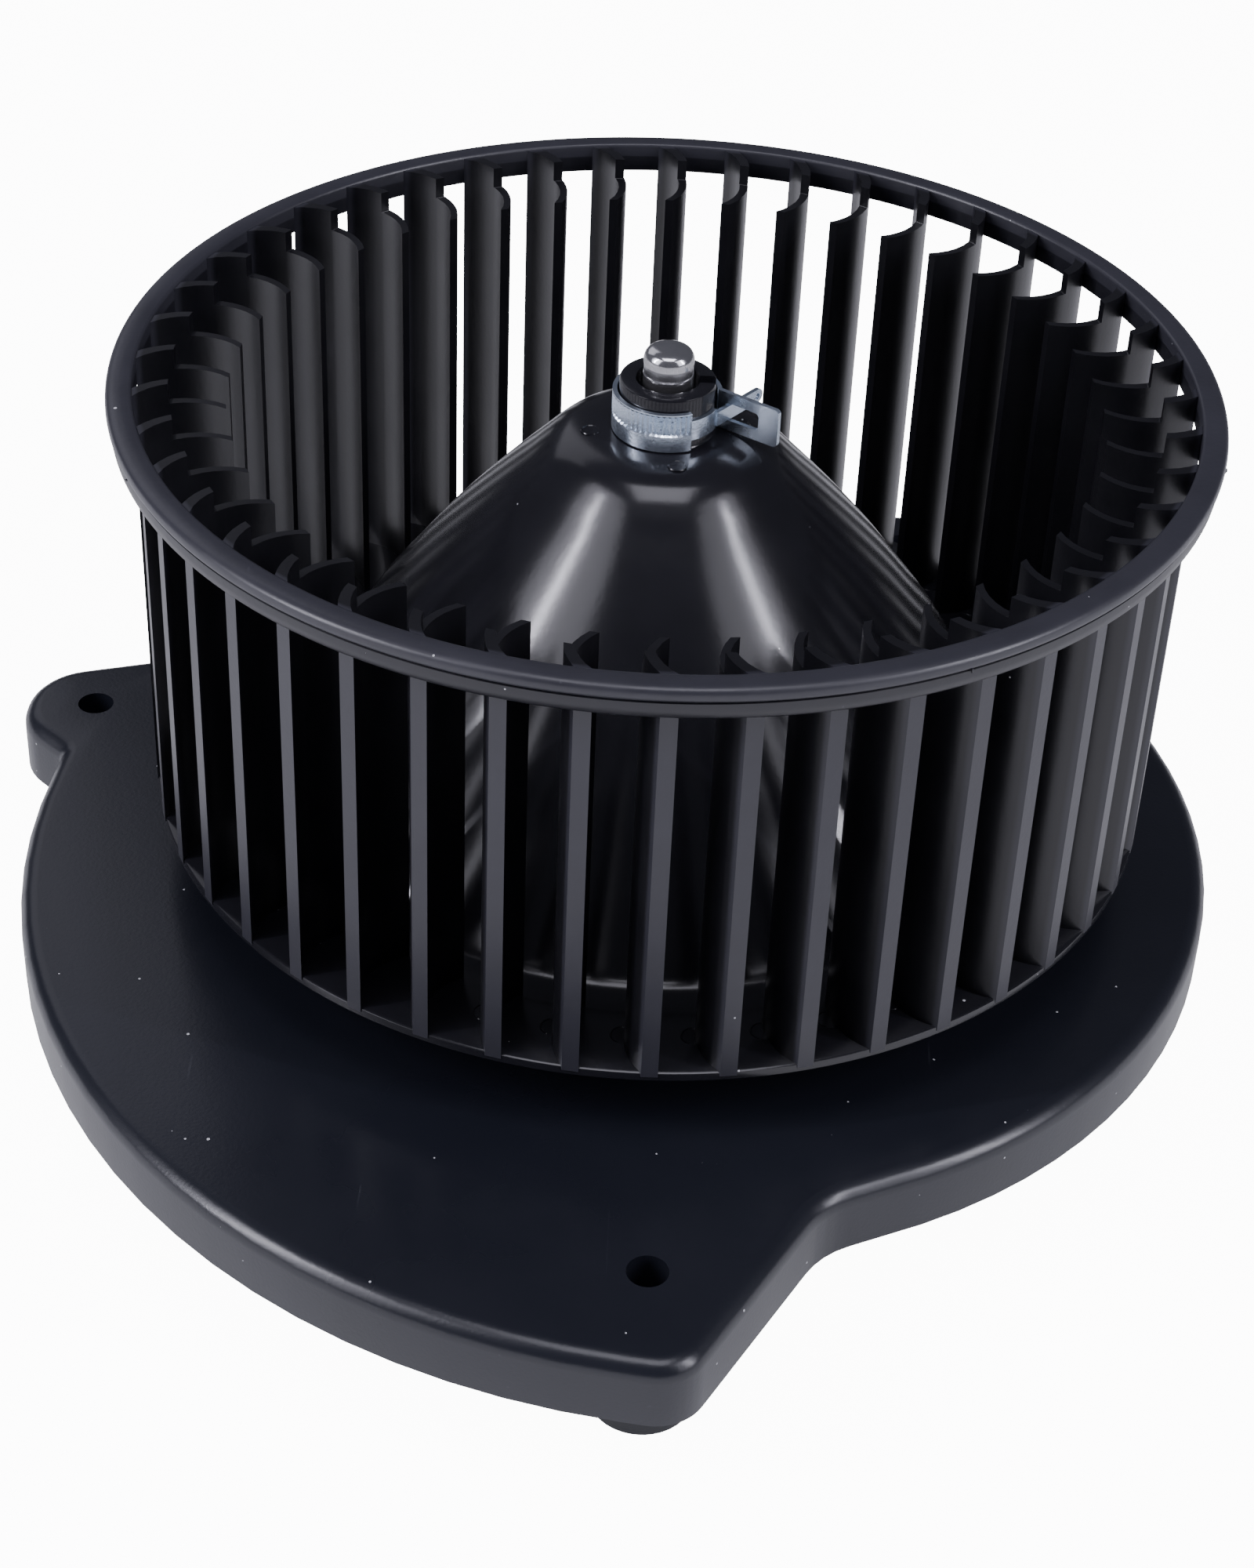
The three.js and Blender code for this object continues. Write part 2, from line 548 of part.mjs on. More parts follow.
function motorEndCap() {
  const cupOuter = BEARING_RADIUS + 2;
  const boxOuter = BEARING_RADIUS + 4;
  const seat = BEARING_RADIUS + CLEARANCE;
  const capOuter = CAN_RADIUS + 1;
  const capInner = CAN_RADIUS - 4;
  const floorTop = CAP_FLOOR + 2;
  const cupTop = CAP_FLOOR + BEARING_HEIGHT;
  const earFoot = CAP_FLOOR + 3;
  const plate = turned([
    [0, CAP_FOOT],
    [boxOuter, CAP_FOOT],
    [boxOuter, CAP_FLOOR],
    [capOuter, CAP_FLOOR],
    [capOuter, CAP_RIM],
    [capInner, CAP_RIM],
    [capInner, floorTop],
    [cupOuter, floorTop],
    [cupOuter, cupTop],
    [seat, cupTop],
    [seat, CAP_FLOOR],
    [0, CAP_FLOOR],
  ]);
  const earReach = SCREW_CIRCLE + SCREW_HEAD_RADIUS + 1.5;
  const earRoot = capOuter - 3 * JOIN;
  const earLength = earReach - earRoot;
  const earWidth = 2 * SCREW_HEAD_RADIUS + 3;
  const ears = SCREW_ANGLES.map((angle) =>
    block(earLength, earWidth, earFoot, CAP_RIM, ...at(earRoot + earLength / 2, angle), angle));
  const drill = disc(SCREW_RADIUS + CLEARANCE, CAP_FLOOR, CAP_RIM + EPS, 16);
  const holes = SCREW_ANGLES.map((angle) => placed(drill, SCREW_CIRCLE, angle));
  const peg = disc(PEG_RADIUS, floorTop - JOIN, CARD_FOOT - CLEARANCE, 12);
  const pegs = spread(PEGS, 60).map((angle) => placed(peg, CAN_RADIUS - 8, angle));
  return without(joined([plate, ...ears, ...pegs]), holes);
}

function magnet(side) {
  const half = MAGNET_SPAN / 2;
  const shape = new THREE.Shape();
  shape.absarc(0, 0, MAGNET_OUTER, rad(side - half), rad(side + half), false);
  shape.absarc(0, 0, MAGNET_INNER, rad(side + half), rad(side - half), true);
  return raised(shape, MAGNET_FOOT, MAGNET_FOOT + MAGNET_HEIGHT, 14);
}

// A winding slot's cross-section, from its mouth at the rim of the stack down to its floor.
function slotCutter(gap, foot, top) {
  const mouth = block(SLOT_OUTER, SLOT_MOUTH, foot, top, SLOT_OUTER, 0);
  const middle = (SLOT_INNER + SLOT_OUTER) / 2;
  const bay = block(SLOT_OUTER - SLOT_INNER - 2 * gap, SLOT_WIDTH - 2 * gap, foot, top, middle, 0);
  return gap ? bay : joined([bay, mouth]);
}

function armatureStack() {
  const top = STACK_FOOT + STACK_HEIGHT;
  const cutter = slotCutter(0, STACK_FOOT - EPS, top + EPS);
  const slots = spread(TEETH).map((angle) => cutter.rotate([0, 0, angle]));
  return without(ring(BORE_GAP, STACK_RADIUS, STACK_FOOT, top, 40), slots);
}

function armatureWinding() {
  const top = STACK_FOOT + STACK_HEIGHT;
  const low = STACK_FOOT - CLEARANCE;
  const high = top + CLEARANCE;
  const bar = slotCutter(CLEARANCE, low - 1, high + 1);
  const bars = spread(TEETH).map((angle) => bar.rotate([0, 0, angle]));
  const coilEnd = (near, far) => turned([
    [SLOT_INNER - 3, near],
    [SLOT_OUTER, near],
    [SLOT_OUTER - 1.5, far],
    [SLOT_INNER - 2, far],
  ]);
  const upper = coilEnd(high, high + COIL_END);
  const lower = coilEnd(-low, -low + COIL_END).mirror([0, 0, 1]);
  return joined([upper, lower, ...bars]);
}

function commutator() {
  const body = ring(BORE_GAP, COMMUTATOR_RADIUS, COMMUTATOR_FOOT, COMMUTATOR_TOP, 40);
  const slit = block(1 + EPS, COMMUTATOR_SLIT, COMMUTATOR_FOOT - EPS, COMMUTATOR_TOP + EPS, COMMUTATOR_RADIUS, 0);
  const slits = spread(TEETH, 360 / TEETH / 2).map((angle) => slit.rotate([0, 0, angle]));
  return without(body, slits);
}

function brushHolder(side) {
  const width = BRUSH_WIDTH + 2 * HOLDER_WALL + CLEARANCE;
  const top = BRUSH_FOOT + BRUSH_HEIGHT + CLEARANCE / 2 + HOLDER_WALL;
  const middle = (HOLDER_FRONT + HOLDER_BACK) / 2;
  const length = HOLDER_BACK - HOLDER_FRONT;
  const box = block(length, width, HOLDER_FOOT, top, middle, 0);
  const floor = HOLDER_FOOT + HOLDER_WALL;
  const hollow = block(length, BRUSH_WIDTH + CLEARANCE, floor, top - HOLDER_WALL, middle - HOLDER_WALL, 0);
  return box.subtract(hollow).rotate([0, 0, side]);
}

function brush(side) {
  const middle = (BRUSH_FACE + BRUSH_BACK) / 2;
  return block(BRUSH_LENGTH, BRUSH_WIDTH, BRUSH_FOOT, BRUSH_FOOT + BRUSH_HEIGHT, middle, 0).rotate([0, 0, side]);
}

// A coil, drawn as one wire wound round a line that runs outwards from the back of the brush.
class Coil extends THREE.Curve {
  getPoint(t) {
    const seat = 2 * SPRING_WIRE;
    const start = BRUSH_BACK + seat;
    const end = HOLDER_BACK - HOLDER_WALL - seat;
    const angle = 2 * Math.PI * SPRING_TURNS * t;
    const height = BRUSH_FOOT + BRUSH_HEIGHT / 2 + SPRING_RADIUS * Math.sin(angle);
    return new THREE.Vector3(start + (end - start) * t, SPRING_RADIUS * Math.cos(angle), height);
  }
}

function brushSpring(side) {
  const wire = new THREE.Shape();
  wire.absarc(0, 0, SPRING_WIRE, 0, 2 * Math.PI, false);
  const geometry = new THREE.ExtrudeGeometry(wire, { steps: 45, extrudePath: new Coil(), curveSegments: 3 });
  return solid(geometry).rotate([0, 0, side]);
}

// ---------------------------------------------------------------- connector
const SOCKET_NEAR = CAN_RADIUS + 1 + CLEARANCE;

function connectorHousing() {
  const top = SOCKET_FOOT + SOCKET_HEIGHT;
  const middle = SOCKET_NEAR + SOCKET_LENGTH / 2;
  const inside = SOCKET_WIDTH - 2 * SOCKET_WALL;
  const box = block(SOCKET_LENGTH, SOCKET_WIDTH, SOCKET_FOOT, top, middle, 0);
  const floor = SOCKET_FOOT + SOCKET_WALL;
  const mouth = block(SOCKET_LENGTH, inside, floor, top - SOCKET_WALL, middle + SOCKET_FLOOR, 0);
  const slits = [-1, 1].map((side) => terminalBar(side, CLEARANCE));
  return without(box, [mouth, ...slits]).rotate([0, 0, SOCKET_ANGLE]);
}

// One terminal, or with a gap the slit it sits in.
function terminalBar(side, gap) {
  const height = SOCKET_FOOT + SOCKET_HEIGHT / 2;
  const half = TERMINAL_WIDTH / 2 + gap;
  const start = SOCKET_NEAR - (gap ? EPS : 0);
  const end = SOCKET_NEAR + SOCKET_LENGTH - TERMINAL_DEPTH;
  const middle = (start + end) / 2;
  return block(end - start, TERMINAL_THICK + 2 * gap, height - half, height + half, middle, side * TERMINAL_SIDE);
}

function motorScrew(angle) {
  const underHead = CAP_FLOOR + 3 - CLEARANCE;
  const round = SCREW_HEAD_HEIGHT / 3;
  const screw = turned([
    [0, underHead - SCREW_HEAD_HEIGHT],
    [SCREW_HEAD_RADIUS - round, underHead - SCREW_HEAD_HEIGHT],
    [SCREW_HEAD_RADIUS, underHead - SCREW_HEAD_HEIGHT + round],
    [SCREW_HEAD_RADIUS, underHead],
    [SCREW_RADIUS, underHead],
    [SCREW_RADIUS, underHead + SCREW_LENGTH],
    [0, underHead + SCREW_LENGTH],
  ], 18);
  return placed(screw, SCREW_CIRCLE, angle);
}

// ---------------------------------------------------------------- assembly
const PLASTIC = { color: 0x17181c, roughness: 0.5, metalness: 0 };
const GLOSS = { color: 0x0e0f12, roughness: 0.28, metalness: 0 };
const STEEL = { color: 0xb8bcc2, roughness: 0.25, metalness: 1 };
const ZINC = { color: 0xa9b7c6, roughness: 0.35, metalness: 1 };
const CASE = { color: 0x8b8e92, roughness: 0.4, metalness: 1 };
const RUBBER = { color: 0x0c0c0d, roughness: 0.9, metalness: 0 };
const FERRITE = { color: 0x2c2a2b, roughness: 0.7, metalness: 0.1 };
const IRON = { color: 0x5a5c60, roughness: 0.5, metalness: 0.9 };
const COPPER = { color: 0xb5673a, roughness: 0.35, metalness: 1 };
const BRONZE = { color: 0xa9803f, roughness: 0.5, metalness: 0.9 };
const CARBON = { color: 0x1d1d1f, roughness: 0.8, metalness: 0.1 };
const CARD = { color: 0x6b3f24, roughness: 0.7, metalness: 0 };

const isolatorTop = WELL_TOP - WELL_LIP - CLEARANCE;
const isolator = ring(CAN_RADIUS + CLEARANCE, WELL_BORE - CLEARANCE, CAN_FOOT + 2, isolatorTop);
const lowerBearing = ring(BORE_GAP, BEARING_RADIUS, CAP_FLOOR + 0.5, CAP_FLOOR + BEARING_HEIGHT);
const upperBearing = ring(BORE_GAP, BEARING_RADIUS, CAN_TOP - 2, HUB_TOP - CAN_WALL - CLEARANCE);
const washerSeats = [CAP_FLOOR + BEARING_HEIGHT + CLEARANCE, CAN_TOP - 2 - CLEARANCE - WASHER_THICK];

piece("mounting_flange", mountingFlange(), PLASTIC);
piece("isolator_ring", isolator, RUBBER);
piece("motor_can", motorCan(), CASE);
piece("motor_end_cap", motorEndCap(), PLASTIC);
spread(2).forEach((side, i) => piece("magnet_" + (i + 1), magnet(side), FERRITE));
piece("lower_bearing", lowerBearing, BRONZE);
piece("upper_bearing", upperBearing, BRONZE);
piece("brush_card", ring(HOLDER_FRONT, CAN_BORE - 1, CARD_FOOT, CARD_TOP), CARD);
spread(2, 90).forEach((side, i) => {
  piece("brush_holder_" + (i + 1), brushHolder(side), BRONZE);
  piece("brush_" + (i + 1), brush(side), CARBON);
  piece("brush_spring_" + (i + 1), brushSpring(side), STEEL);
});
piece("connector_housing", connectorHousing(), PLASTIC);
[-1, 1].forEach((side, i) => {
  piece("terminal_" + (i + 1), terminalBar(side, 0).rotate([0, 0, SOCKET_ANGLE]), BRONZE);
});
SCREW_ANGLES.forEach((angle, i) => piece("motor_screw_" + (i + 1), motorScrew(angle), ZINC));
piece("motor_shaft", motorShaft(), STEEL);
piece("armature_stack", armatureStack(), IRON);
piece("armature_winding", armatureWinding(), COPPER);
piece("commutator", commutator(), COPPER);
washerSeats.forEach((foot, i) => {
  piece("thrust_washer_" + (i + 1), ring(BORE_GAP, WASHER_RADIUS, foot, foot + WASHER_THICK), RUBBER);
});
piece("blower_wheel", blowerWheel(), GLOSS);
piece("spring_clamp", springClamp(), ZINC);

export default root;
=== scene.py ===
# %% [markdown]
# # Heater blower: a motor, its mounting flange and a centrifugal wheel
#
# This lesson builds the outside of a small heater blower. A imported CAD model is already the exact
# frame: it says where every piece is and how the rotor turns. The lesson adds what a CAD body leaves out:
# rolled edges, knurls, mould marks, and surfaces that look moulded, plated or ground.
# Everything is in metres, with the motor's axis on Z and the three boss feet at level 0.

# %% Load the frame
import math

import bmesh
import bpy
from mathutils import Matrix, Vector, geometry


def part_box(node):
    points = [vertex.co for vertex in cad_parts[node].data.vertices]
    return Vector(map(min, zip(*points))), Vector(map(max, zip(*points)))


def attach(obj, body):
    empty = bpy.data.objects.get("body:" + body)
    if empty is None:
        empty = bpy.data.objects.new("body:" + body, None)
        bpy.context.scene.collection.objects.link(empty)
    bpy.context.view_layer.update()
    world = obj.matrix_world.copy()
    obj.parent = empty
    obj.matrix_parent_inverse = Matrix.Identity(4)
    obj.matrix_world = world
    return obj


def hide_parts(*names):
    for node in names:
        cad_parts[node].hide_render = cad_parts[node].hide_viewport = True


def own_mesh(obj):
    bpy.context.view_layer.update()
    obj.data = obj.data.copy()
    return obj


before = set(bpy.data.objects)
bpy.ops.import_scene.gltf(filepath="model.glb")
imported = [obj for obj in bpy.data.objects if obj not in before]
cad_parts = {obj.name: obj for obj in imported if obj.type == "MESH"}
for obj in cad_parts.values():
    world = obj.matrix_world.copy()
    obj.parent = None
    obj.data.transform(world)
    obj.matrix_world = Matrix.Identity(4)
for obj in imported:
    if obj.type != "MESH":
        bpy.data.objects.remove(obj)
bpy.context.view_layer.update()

MM = 0.001

# %% [markdown]
# ## Levels and sizes that the fine pieces share
#
# A fine piece replaces a CAD node, so it takes its levels from that node's box wherever one says it.
# Sizes of details that only show here, such as the bead on the rim, are set where they are used.

# %% Levels from the CAD nodes, in millimetres
wheel_low, wheel_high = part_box("blower_wheel")
flange_low, flange_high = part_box("mounting_flange")
shaft_low, shaft_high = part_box("motor_shaft")
clamp_low, clamp_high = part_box("spring_clamp")

WHEEL_FOOT = wheel_low.z / MM
RIM_TOP = wheel_high.z / MM
RIM_RADIUS = wheel_high.x / MM
SHAFT_FOOT = shaft_low.z / MM
SHAFT_TOP = shaft_high.z / MM
SHAFT_RADIUS = shaft_high.y / MM
CLAMP_FOOT = clamp_low.z / MM
CLAMP_TOP = clamp_high.z / MM
print(
    "wheel", WHEEL_FOOT, RIM_TOP, RIM_RADIUS, "shaft", SHAFT_FOOT, SHAFT_TOP, "clamp", CLAMP_FOOT, CLAMP_TOP
)

# %% [markdown]
# ## Small tools for making pieces
#
# Most of this object is round, so the tool used most is the spin: a profile drawn as a few points is swept
# round Z. The alternative, a cylinder primitive with its rings scaled, gives no control over the little
# radii where light catches. Sharp profile corners are rounded by extra points listed in the profile.

# %% Profiles and spins
def at(out, angle, level=0.0):
    """A point at a distance and an angle from the axis, in metres."""
    turn = math.radians(angle)
    return Vector((out * math.cos(turn), out * math.sin(turn), level)) * MM


def drawn(points, closed=True):
    """A bmesh that holds one line through [radius, level] points in millimetres."""
    shape = bmesh.new()
    verts = [shape.verts.new((r * MM, 0, z * MM)) for r, z in points]
    pairs = list(zip(verts, verts[1:]))
    if closed:
        pairs.append((verts[-1], verts[0]))
    for pair in pairs:
        shape.edges.new(pair)
    return shape


def turned(points, steps=128, closed=True):
    """Sweep a profile all the way round Z."""
    shape = drawn(points, closed)
    bmesh.ops.spin(
        shape, geom=shape.verts[:] + shape.edges[:], cent=(0, 0, 0), axis=(0, 0, 1),
        angle=math.radians(360), steps=steps, use_merge=True,
    )
    return shape


def smooth_line(points, steps=5):
    """More points along a soft curve through the given ones, which is how a formed dome runs."""
    knots = [Vector((r, z, 0)) for r, z in points]
    line = [knots[0]]
    for i in range(len(knots) - 1):
        before = knots[max(i - 1, 0)]
        after = knots[min(i + 2, len(knots) - 1)]
        handle_a = knots[i] + (knots[i + 1] - before) / 6
        handle_b = knots[i + 1] - (after - knots[i]) / 6
        line += geometry.interpolate_bezier(knots[i], handle_a, handle_b, knots[i + 1], steps + 1)[1:]
    return [(p.x, p.y) for p in line]


# %% Turning a bmesh into a piece of the blower
def finished(shape, name, body, material, smooth=35):
    """Close the seams, point the faces outwards, and let the piece ride on a body."""
    bmesh.ops.remove_doubles(shape, verts=shape.verts, dist=0.004 * MM)
    bmesh.ops.recalc_face_normals(shape, faces=shape.faces)
    mesh = bpy.data.meshes.new(name)
    shape.to_mesh(mesh)
    shape.free()
    mesh.materials.append(material)
    mesh.shade_smooth()
    mesh.set_sharp_from_angle(angle=math.radians(smooth))
    piece = bpy.data.objects.new(name, mesh)
    bpy.context.collection.objects.link(piece)
    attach(piece, body)
    print(f"{name}: {len(mesh.polygons)} faces")
    return piece


def cut_away(piece, cutters, smooth=35):
    """Cut bmesh shapes out of a piece, and keep the result as its mesh."""
    tools = []
    for i, shape in enumerate(cutters):
        bmesh.ops.recalc_face_normals(shape, faces=shape.faces)
        mesh = bpy.data.meshes.new(f"cutter_{i}")
        shape.to_mesh(mesh)
        shape.free()
        tool = bpy.data.objects.new(mesh.name, mesh)
        bpy.context.collection.objects.link(tool)
        cut = piece.modifiers.new(tool.name, "BOOLEAN")
        cut.object = tool
        cut.operation = "DIFFERENCE"
        tools.append(tool)
    graph = bpy.context.evaluated_depsgraph_get()
    mesh = bpy.data.meshes.new_from_object(piece.evaluated_get(graph))
    piece.modifiers.clear()
    old = piece.data
    piece.data = mesh
    bpy.data.meshes.remove(old)
    mesh.name = piece.name
    mesh.set_sharp_from_angle(angle=math.radians(smooth))
    for tool in tools:
        bpy.data.meshes.remove(tool.data)
    print(f"{piece.name}: {len(mesh.polygons)} faces after {len(cutters)} cuts")
    return piece


def block(size, middle):
    """A box given by its size and its middle, in millimetres."""
    shape = bmesh.new()
    bmesh.ops.create_cube(shape, size=MM)
    bmesh.ops.scale(shape, vec=size, verts=shape.verts)
    bmesh.ops.translate(shape, vec=Vector(middle) * MM, verts=shape.verts)
    return shape


def peg(radius, foot, top, out=0.0, angle=0.0, sides=32):
    """A round peg or a drill, standing on Z."""
    shape = bmesh.new()
    bmesh.ops.create_cone(
        shape, cap_ends=True, segments=sides, radius1=radius * MM, radius2=radius * MM,
        depth=(top - foot) * MM,
    )
    bmesh.ops.translate(shape, vec=at(out, angle, (foot + top) / 2), verts=shape.verts)
    return shape


def added(shape, other):
    """Put a second bmesh's mesh into the first."""
    mesh = bpy.data.meshes.new("added")
    other.to_mesh(mesh)
    other.free()
    shape.from_mesh(mesh)
    bpy.data.meshes.remove(mesh)
    return shape


def ring_of(single, count, first=0.0):
    """Copies of a bmesh, spread evenly round Z."""
    mesh = bpy.data.meshes.new("single")
    single.to_mesh(mesh)
    single.free()
    row = bmesh.new()
    for i in range(count):
        start = len(row.verts)
        row.from_mesh(mesh)
        row.verts.ensure_lookup_table()
        turn = Matrix.Rotation(math.radians(first + 360 / count * i), 3, "Z")
        bmesh.ops.rotate(row, cent=(0, 0, 0), matrix=turn, verts=row.verts[start:])
    bpy.data.meshes.remove(mesh)
    return row


# %% [markdown]
# ## Camera, floor and lights
#
# The view is a long lens held a little above the object. A product of black plastic is lit by what it
# reflects: two tall soft boxes stand at the front left and front right, so each curve carries two clean
# bands of light with a dark middle, and a thin strip in front of each draws a bright line in the band. Two
# more boxes, above and at the back left, lift the flat tops. The room is dim, and the backdrop pale.

# %% Camera
LENS = 69.04
EYE = (0, -415.15, 340.92)
EYE_ANGLES = (53.359, -2.126, 2.064)

camera = bpy.data.objects.new("camera", bpy.data.cameras.new("camera"))
bpy.context.collection.objects.link(camera)
camera.data.lens = LENS
camera.data.sensor_width = 36
camera.location = Vector(EYE) * MM
camera.rotation_euler = [math.radians(a) for a in EYE_ANGLES]
camera.data.clip_start = 0.01
bpy.context.scene.camera = camera
print("camera", LENS, "mm lens at", EYE)


# %% Floor
floor_mesh = bpy.data.meshes.new("floor")
floor_shape = bmesh.new()
bmesh.ops.create_grid(floor_shape, x_segments=2, y_segments=2, size=4.0)
floor_shape.to_mesh(floor_mesh)
floor_shape.free()
floor = bpy.data.objects.new("floor", floor_mesh)
floor.location.z = -0.0002
bpy.context.collection.objects.link(floor)
floor_paint = bpy.data.materials.new("pale_floor")
floor_paint.use_nodes = True
floor_shader = floor_paint.node_tree.nodes["Principled BSDF"]
floor_shader.inputs["Base Color"].default_value = (0.86, 0.86, 0.87, 1)
floor_shader.inputs["Roughness"].default_value = 0.9
floor_shader.inputs["Emission Color"].default_value = (1, 1, 1, 1)
floor_seen = floor_paint.node_tree.nodes.new("ShaderNodeLightPath")
floor_lift = floor_paint.node_tree.nodes.new("ShaderNodeMath")
floor_lift.operation = "MULTIPLY_ADD"
floor_lift.inputs[1].default_value = 11.5
floor_lift.inputs[2].default_value = 0.25
floor_paint.node_tree.links.new(floor_seen.outputs["Is Camera Ray"], floor_lift.inputs[0])
floor_paint.node_tree.links.new(floor_lift.outputs[0], floor_shader.inputs["Emission Strength"])
floor_mesh.materials.append(floor_paint)
print("floor at", floor.location.z)

# %% Lights
world = bpy.data.worlds.new("room")
bpy.context.scene.world = world
world.use_nodes = True
room = world.node_tree
room.nodes.clear()
dim = room.nodes.new("ShaderNodeBackground")
dim.inputs["Color"].default_value = (0.80, 0.82, 1.0, 1)
dim.inputs["Strength"].default_value = 0.10
backdrop = room.nodes.new("ShaderNodeBackground")
backdrop.inputs["Color"].default_value = (1, 1, 1, 1)
backdrop.inputs["Strength"].default_value = 12.0
seen = room.nodes.new("ShaderNodeLightPath")
either = room.nodes.new("ShaderNodeMixShader")
sky = room.nodes.new("ShaderNodeOutputWorld")
room.links.new(seen.outputs["Is Camera Ray"], either.inputs["Fac"])
room.links.new(dim.outputs["Background"], either.inputs[1])
room.links.new(backdrop.outputs["Background"], either.inputs[2])
room.links.new(either.outputs["Shader"], sky.inputs["Surface"])


def soft_box(name, place, aim, width, height, power):
    """A rectangular area light that faces a point; all lengths in metres, power in watts."""
    lamp = bpy.data.lights.new(name, "AREA")
    lamp.shape = "RECTANGLE"
    lamp.size = width
    lamp.size_y = height
    lamp.energy = power
    lamp.color = (0.90, 0.89, 1.0)
    holder = bpy.data.objects.new(name, lamp)
    holder.location = place
    holder.rotation_euler = (Vector(aim) - Vector(place)).to_track_quat("-Z", "Y").to_euler()
    bpy.context.collection.objects.link(holder)
    return holder


soft_box("left_box", (-1.12, -0.55, 0.80), (0, 0, 0.08), 0.9, 1.3, 12)
soft_box("right_box", (1.10, -0.62, 0.80), (0, 0, 0.08), 0.8, 1.3, 8)
soft_box("left_strip", (-1.05, -0.42, 0.72), (0, 0, 0.08), 0.02, 0.8, 8.5)
soft_box("right_strip", (1.05, -0.45, 0.72), (0, 0, 0.08), 0.02, 0.8, 7.0)
soft_box("top_box", (0, -0.35, 1.5), (0, -0.1, 0), 0.9, 0.7, 9)
soft_box("back_left_box", (-0.85, 1.15, 1.05), (0, 0, 0.05), 1.0, 0.9, 2.4)
print("6 soft boxes")

# %% [markdown]
# ## Shared surface effects
#
# Real black plastic is never one flat colour. It has a cloudy tone from the mould, a very fine grain,
# specks of dust, and hairline scratches. Each effect is a node group with named inputs, so one material
# can have much of it and another little. A painted image would do too, but a pattern made by nodes
# follows any shape at any scale.

# %% Making a node group
def new_effect(name, inputs, outputs):
    """A node group from {label: value} inputs and {label: kind} outputs; returns its parts."""
    effect = bpy.data.node_groups.new(name, "ShaderNodeTree")
    for label, value in inputs.items():
        if label == "Position":
            effect.interface.new_socket(label, in_out="INPUT", socket_type="NodeSocketVector")
            continue
        kind = "NodeSocketColor" if isinstance(value, tuple) else "NodeSocketFloat"
        effect.interface.new_socket(label, in_out="INPUT", socket_type=kind).default_value = value
    for label, kind in outputs.items():
        effect.interface.new_socket(label, in_out="OUTPUT", socket_type=kind)
    return effect, effect.nodes.new("NodeGroupInput").outputs, effect.nodes.new("NodeGroupOutput").inputs


def put(tree, kind, values=None, links=None, **settings):
    """Add a node with settings, socket values and incoming links."""
    node = tree.nodes.new(kind)
    for key, value in settings.items():
        setattr(node, key, value)
    for key, value in (values or {}).items():
        node.inputs[key].default_value = value
    for key, source in (links or {}).items():
        tree.links.new(source, node.inputs[key])
    return node


# %% Moulded skin: cloudy tone, fine grain
skin, given, out = new_effect(
    "moulded_skin",
    {"Position": None, "Tone": (0.01, 0.01, 0.012, 1), "Cloud Tone": (0.02, 0.02, 0.024, 1),
     "Cloud Size": 60.0, "Grain Size": 2500.0, "Roughness": 0.4, "Roughness Change": 0.1},
    {"Color": "NodeSocketColor", "Roughness": "NodeSocketFloat", "Height": "NodeSocketFloat"},
)
clouds = put(
    skin, "ShaderNodeTexNoise", {"Detail": 4, "Roughness": 0.6},
    {"Vector": given["Position"], "Scale": given["Cloud Size"]}
)
patchy = put(
    skin, "ShaderNodeMapRange", {"From Min": 0.35, "From Max": 0.7}, {"Value": clouds.outputs["Fac"]}
)
toned = put(skin, "ShaderNodeMix", None, {"Factor": patchy.outputs[0]}, data_type="RGBA")
skin.links.new(given["Tone"], toned.inputs[6])
skin.links.new(given["Cloud Tone"], toned.inputs[7])
grain = put(
    skin, "ShaderNodeTexNoise", {"Detail": 3, "Roughness": 0.5},
    {"Vector": given["Position"], "Scale": given["Grain Size"]}
)
swing = put(skin, "ShaderNodeMath", {1: 0.5}, {0: clouds.outputs["Fac"]}, operation="SUBTRACT")
rough = put(
    skin, "ShaderNodeMath", None,
    {0: swing.outputs[0], 1: given["Roughness Change"], 2: given["Roughness"]}, operation="MULTIPLY_ADD"
)
skin.links.new(toned.outputs[2], out["Color"])
skin.links.new(rough.outputs[0], out["Roughness"])
skin.links.new(grain.outputs["Fac"], out["Height"])
print("effect: moulded_skin")

# %% Dust: sparse bright specks
dust, given, out = new_effect(
    "dust",
    {"Position": None, "Spread": 260.0, "Speck": 0.06, "Share": 0.5},
    {"Mask": "NodeSocketFloat"},
)
cells = put(dust, "ShaderNodeTexVoronoi", None, {"Vector": given["Position"], "Scale": given["Spread"]})
parted = put(dust, "ShaderNodeSeparateColor", None, {"Color": cells.outputs["Color"]})
speck = put(
    dust, "ShaderNodeMath", None, {0: given["Speck"], 1: parted.outputs["Green"]}, operation="MULTIPLY"
)
near = put(
    dust, "ShaderNodeMath", None, {0: cells.outputs["Distance"], 1: speck.outputs[0]}, operation="LESS_THAN"
)
kept = put(
    dust, "ShaderNodeMath", None, {0: parted.outputs["Red"], 1: given["Share"]}, operation="LESS_THAN"
)
mask = put(dust, "ShaderNodeMath", None, {0: near.outputs[0], 1: kept.outputs[0]}, operation="MULTIPLY")
dust.links.new(mask.outputs[0], out["Mask"])
print("effect: dust")

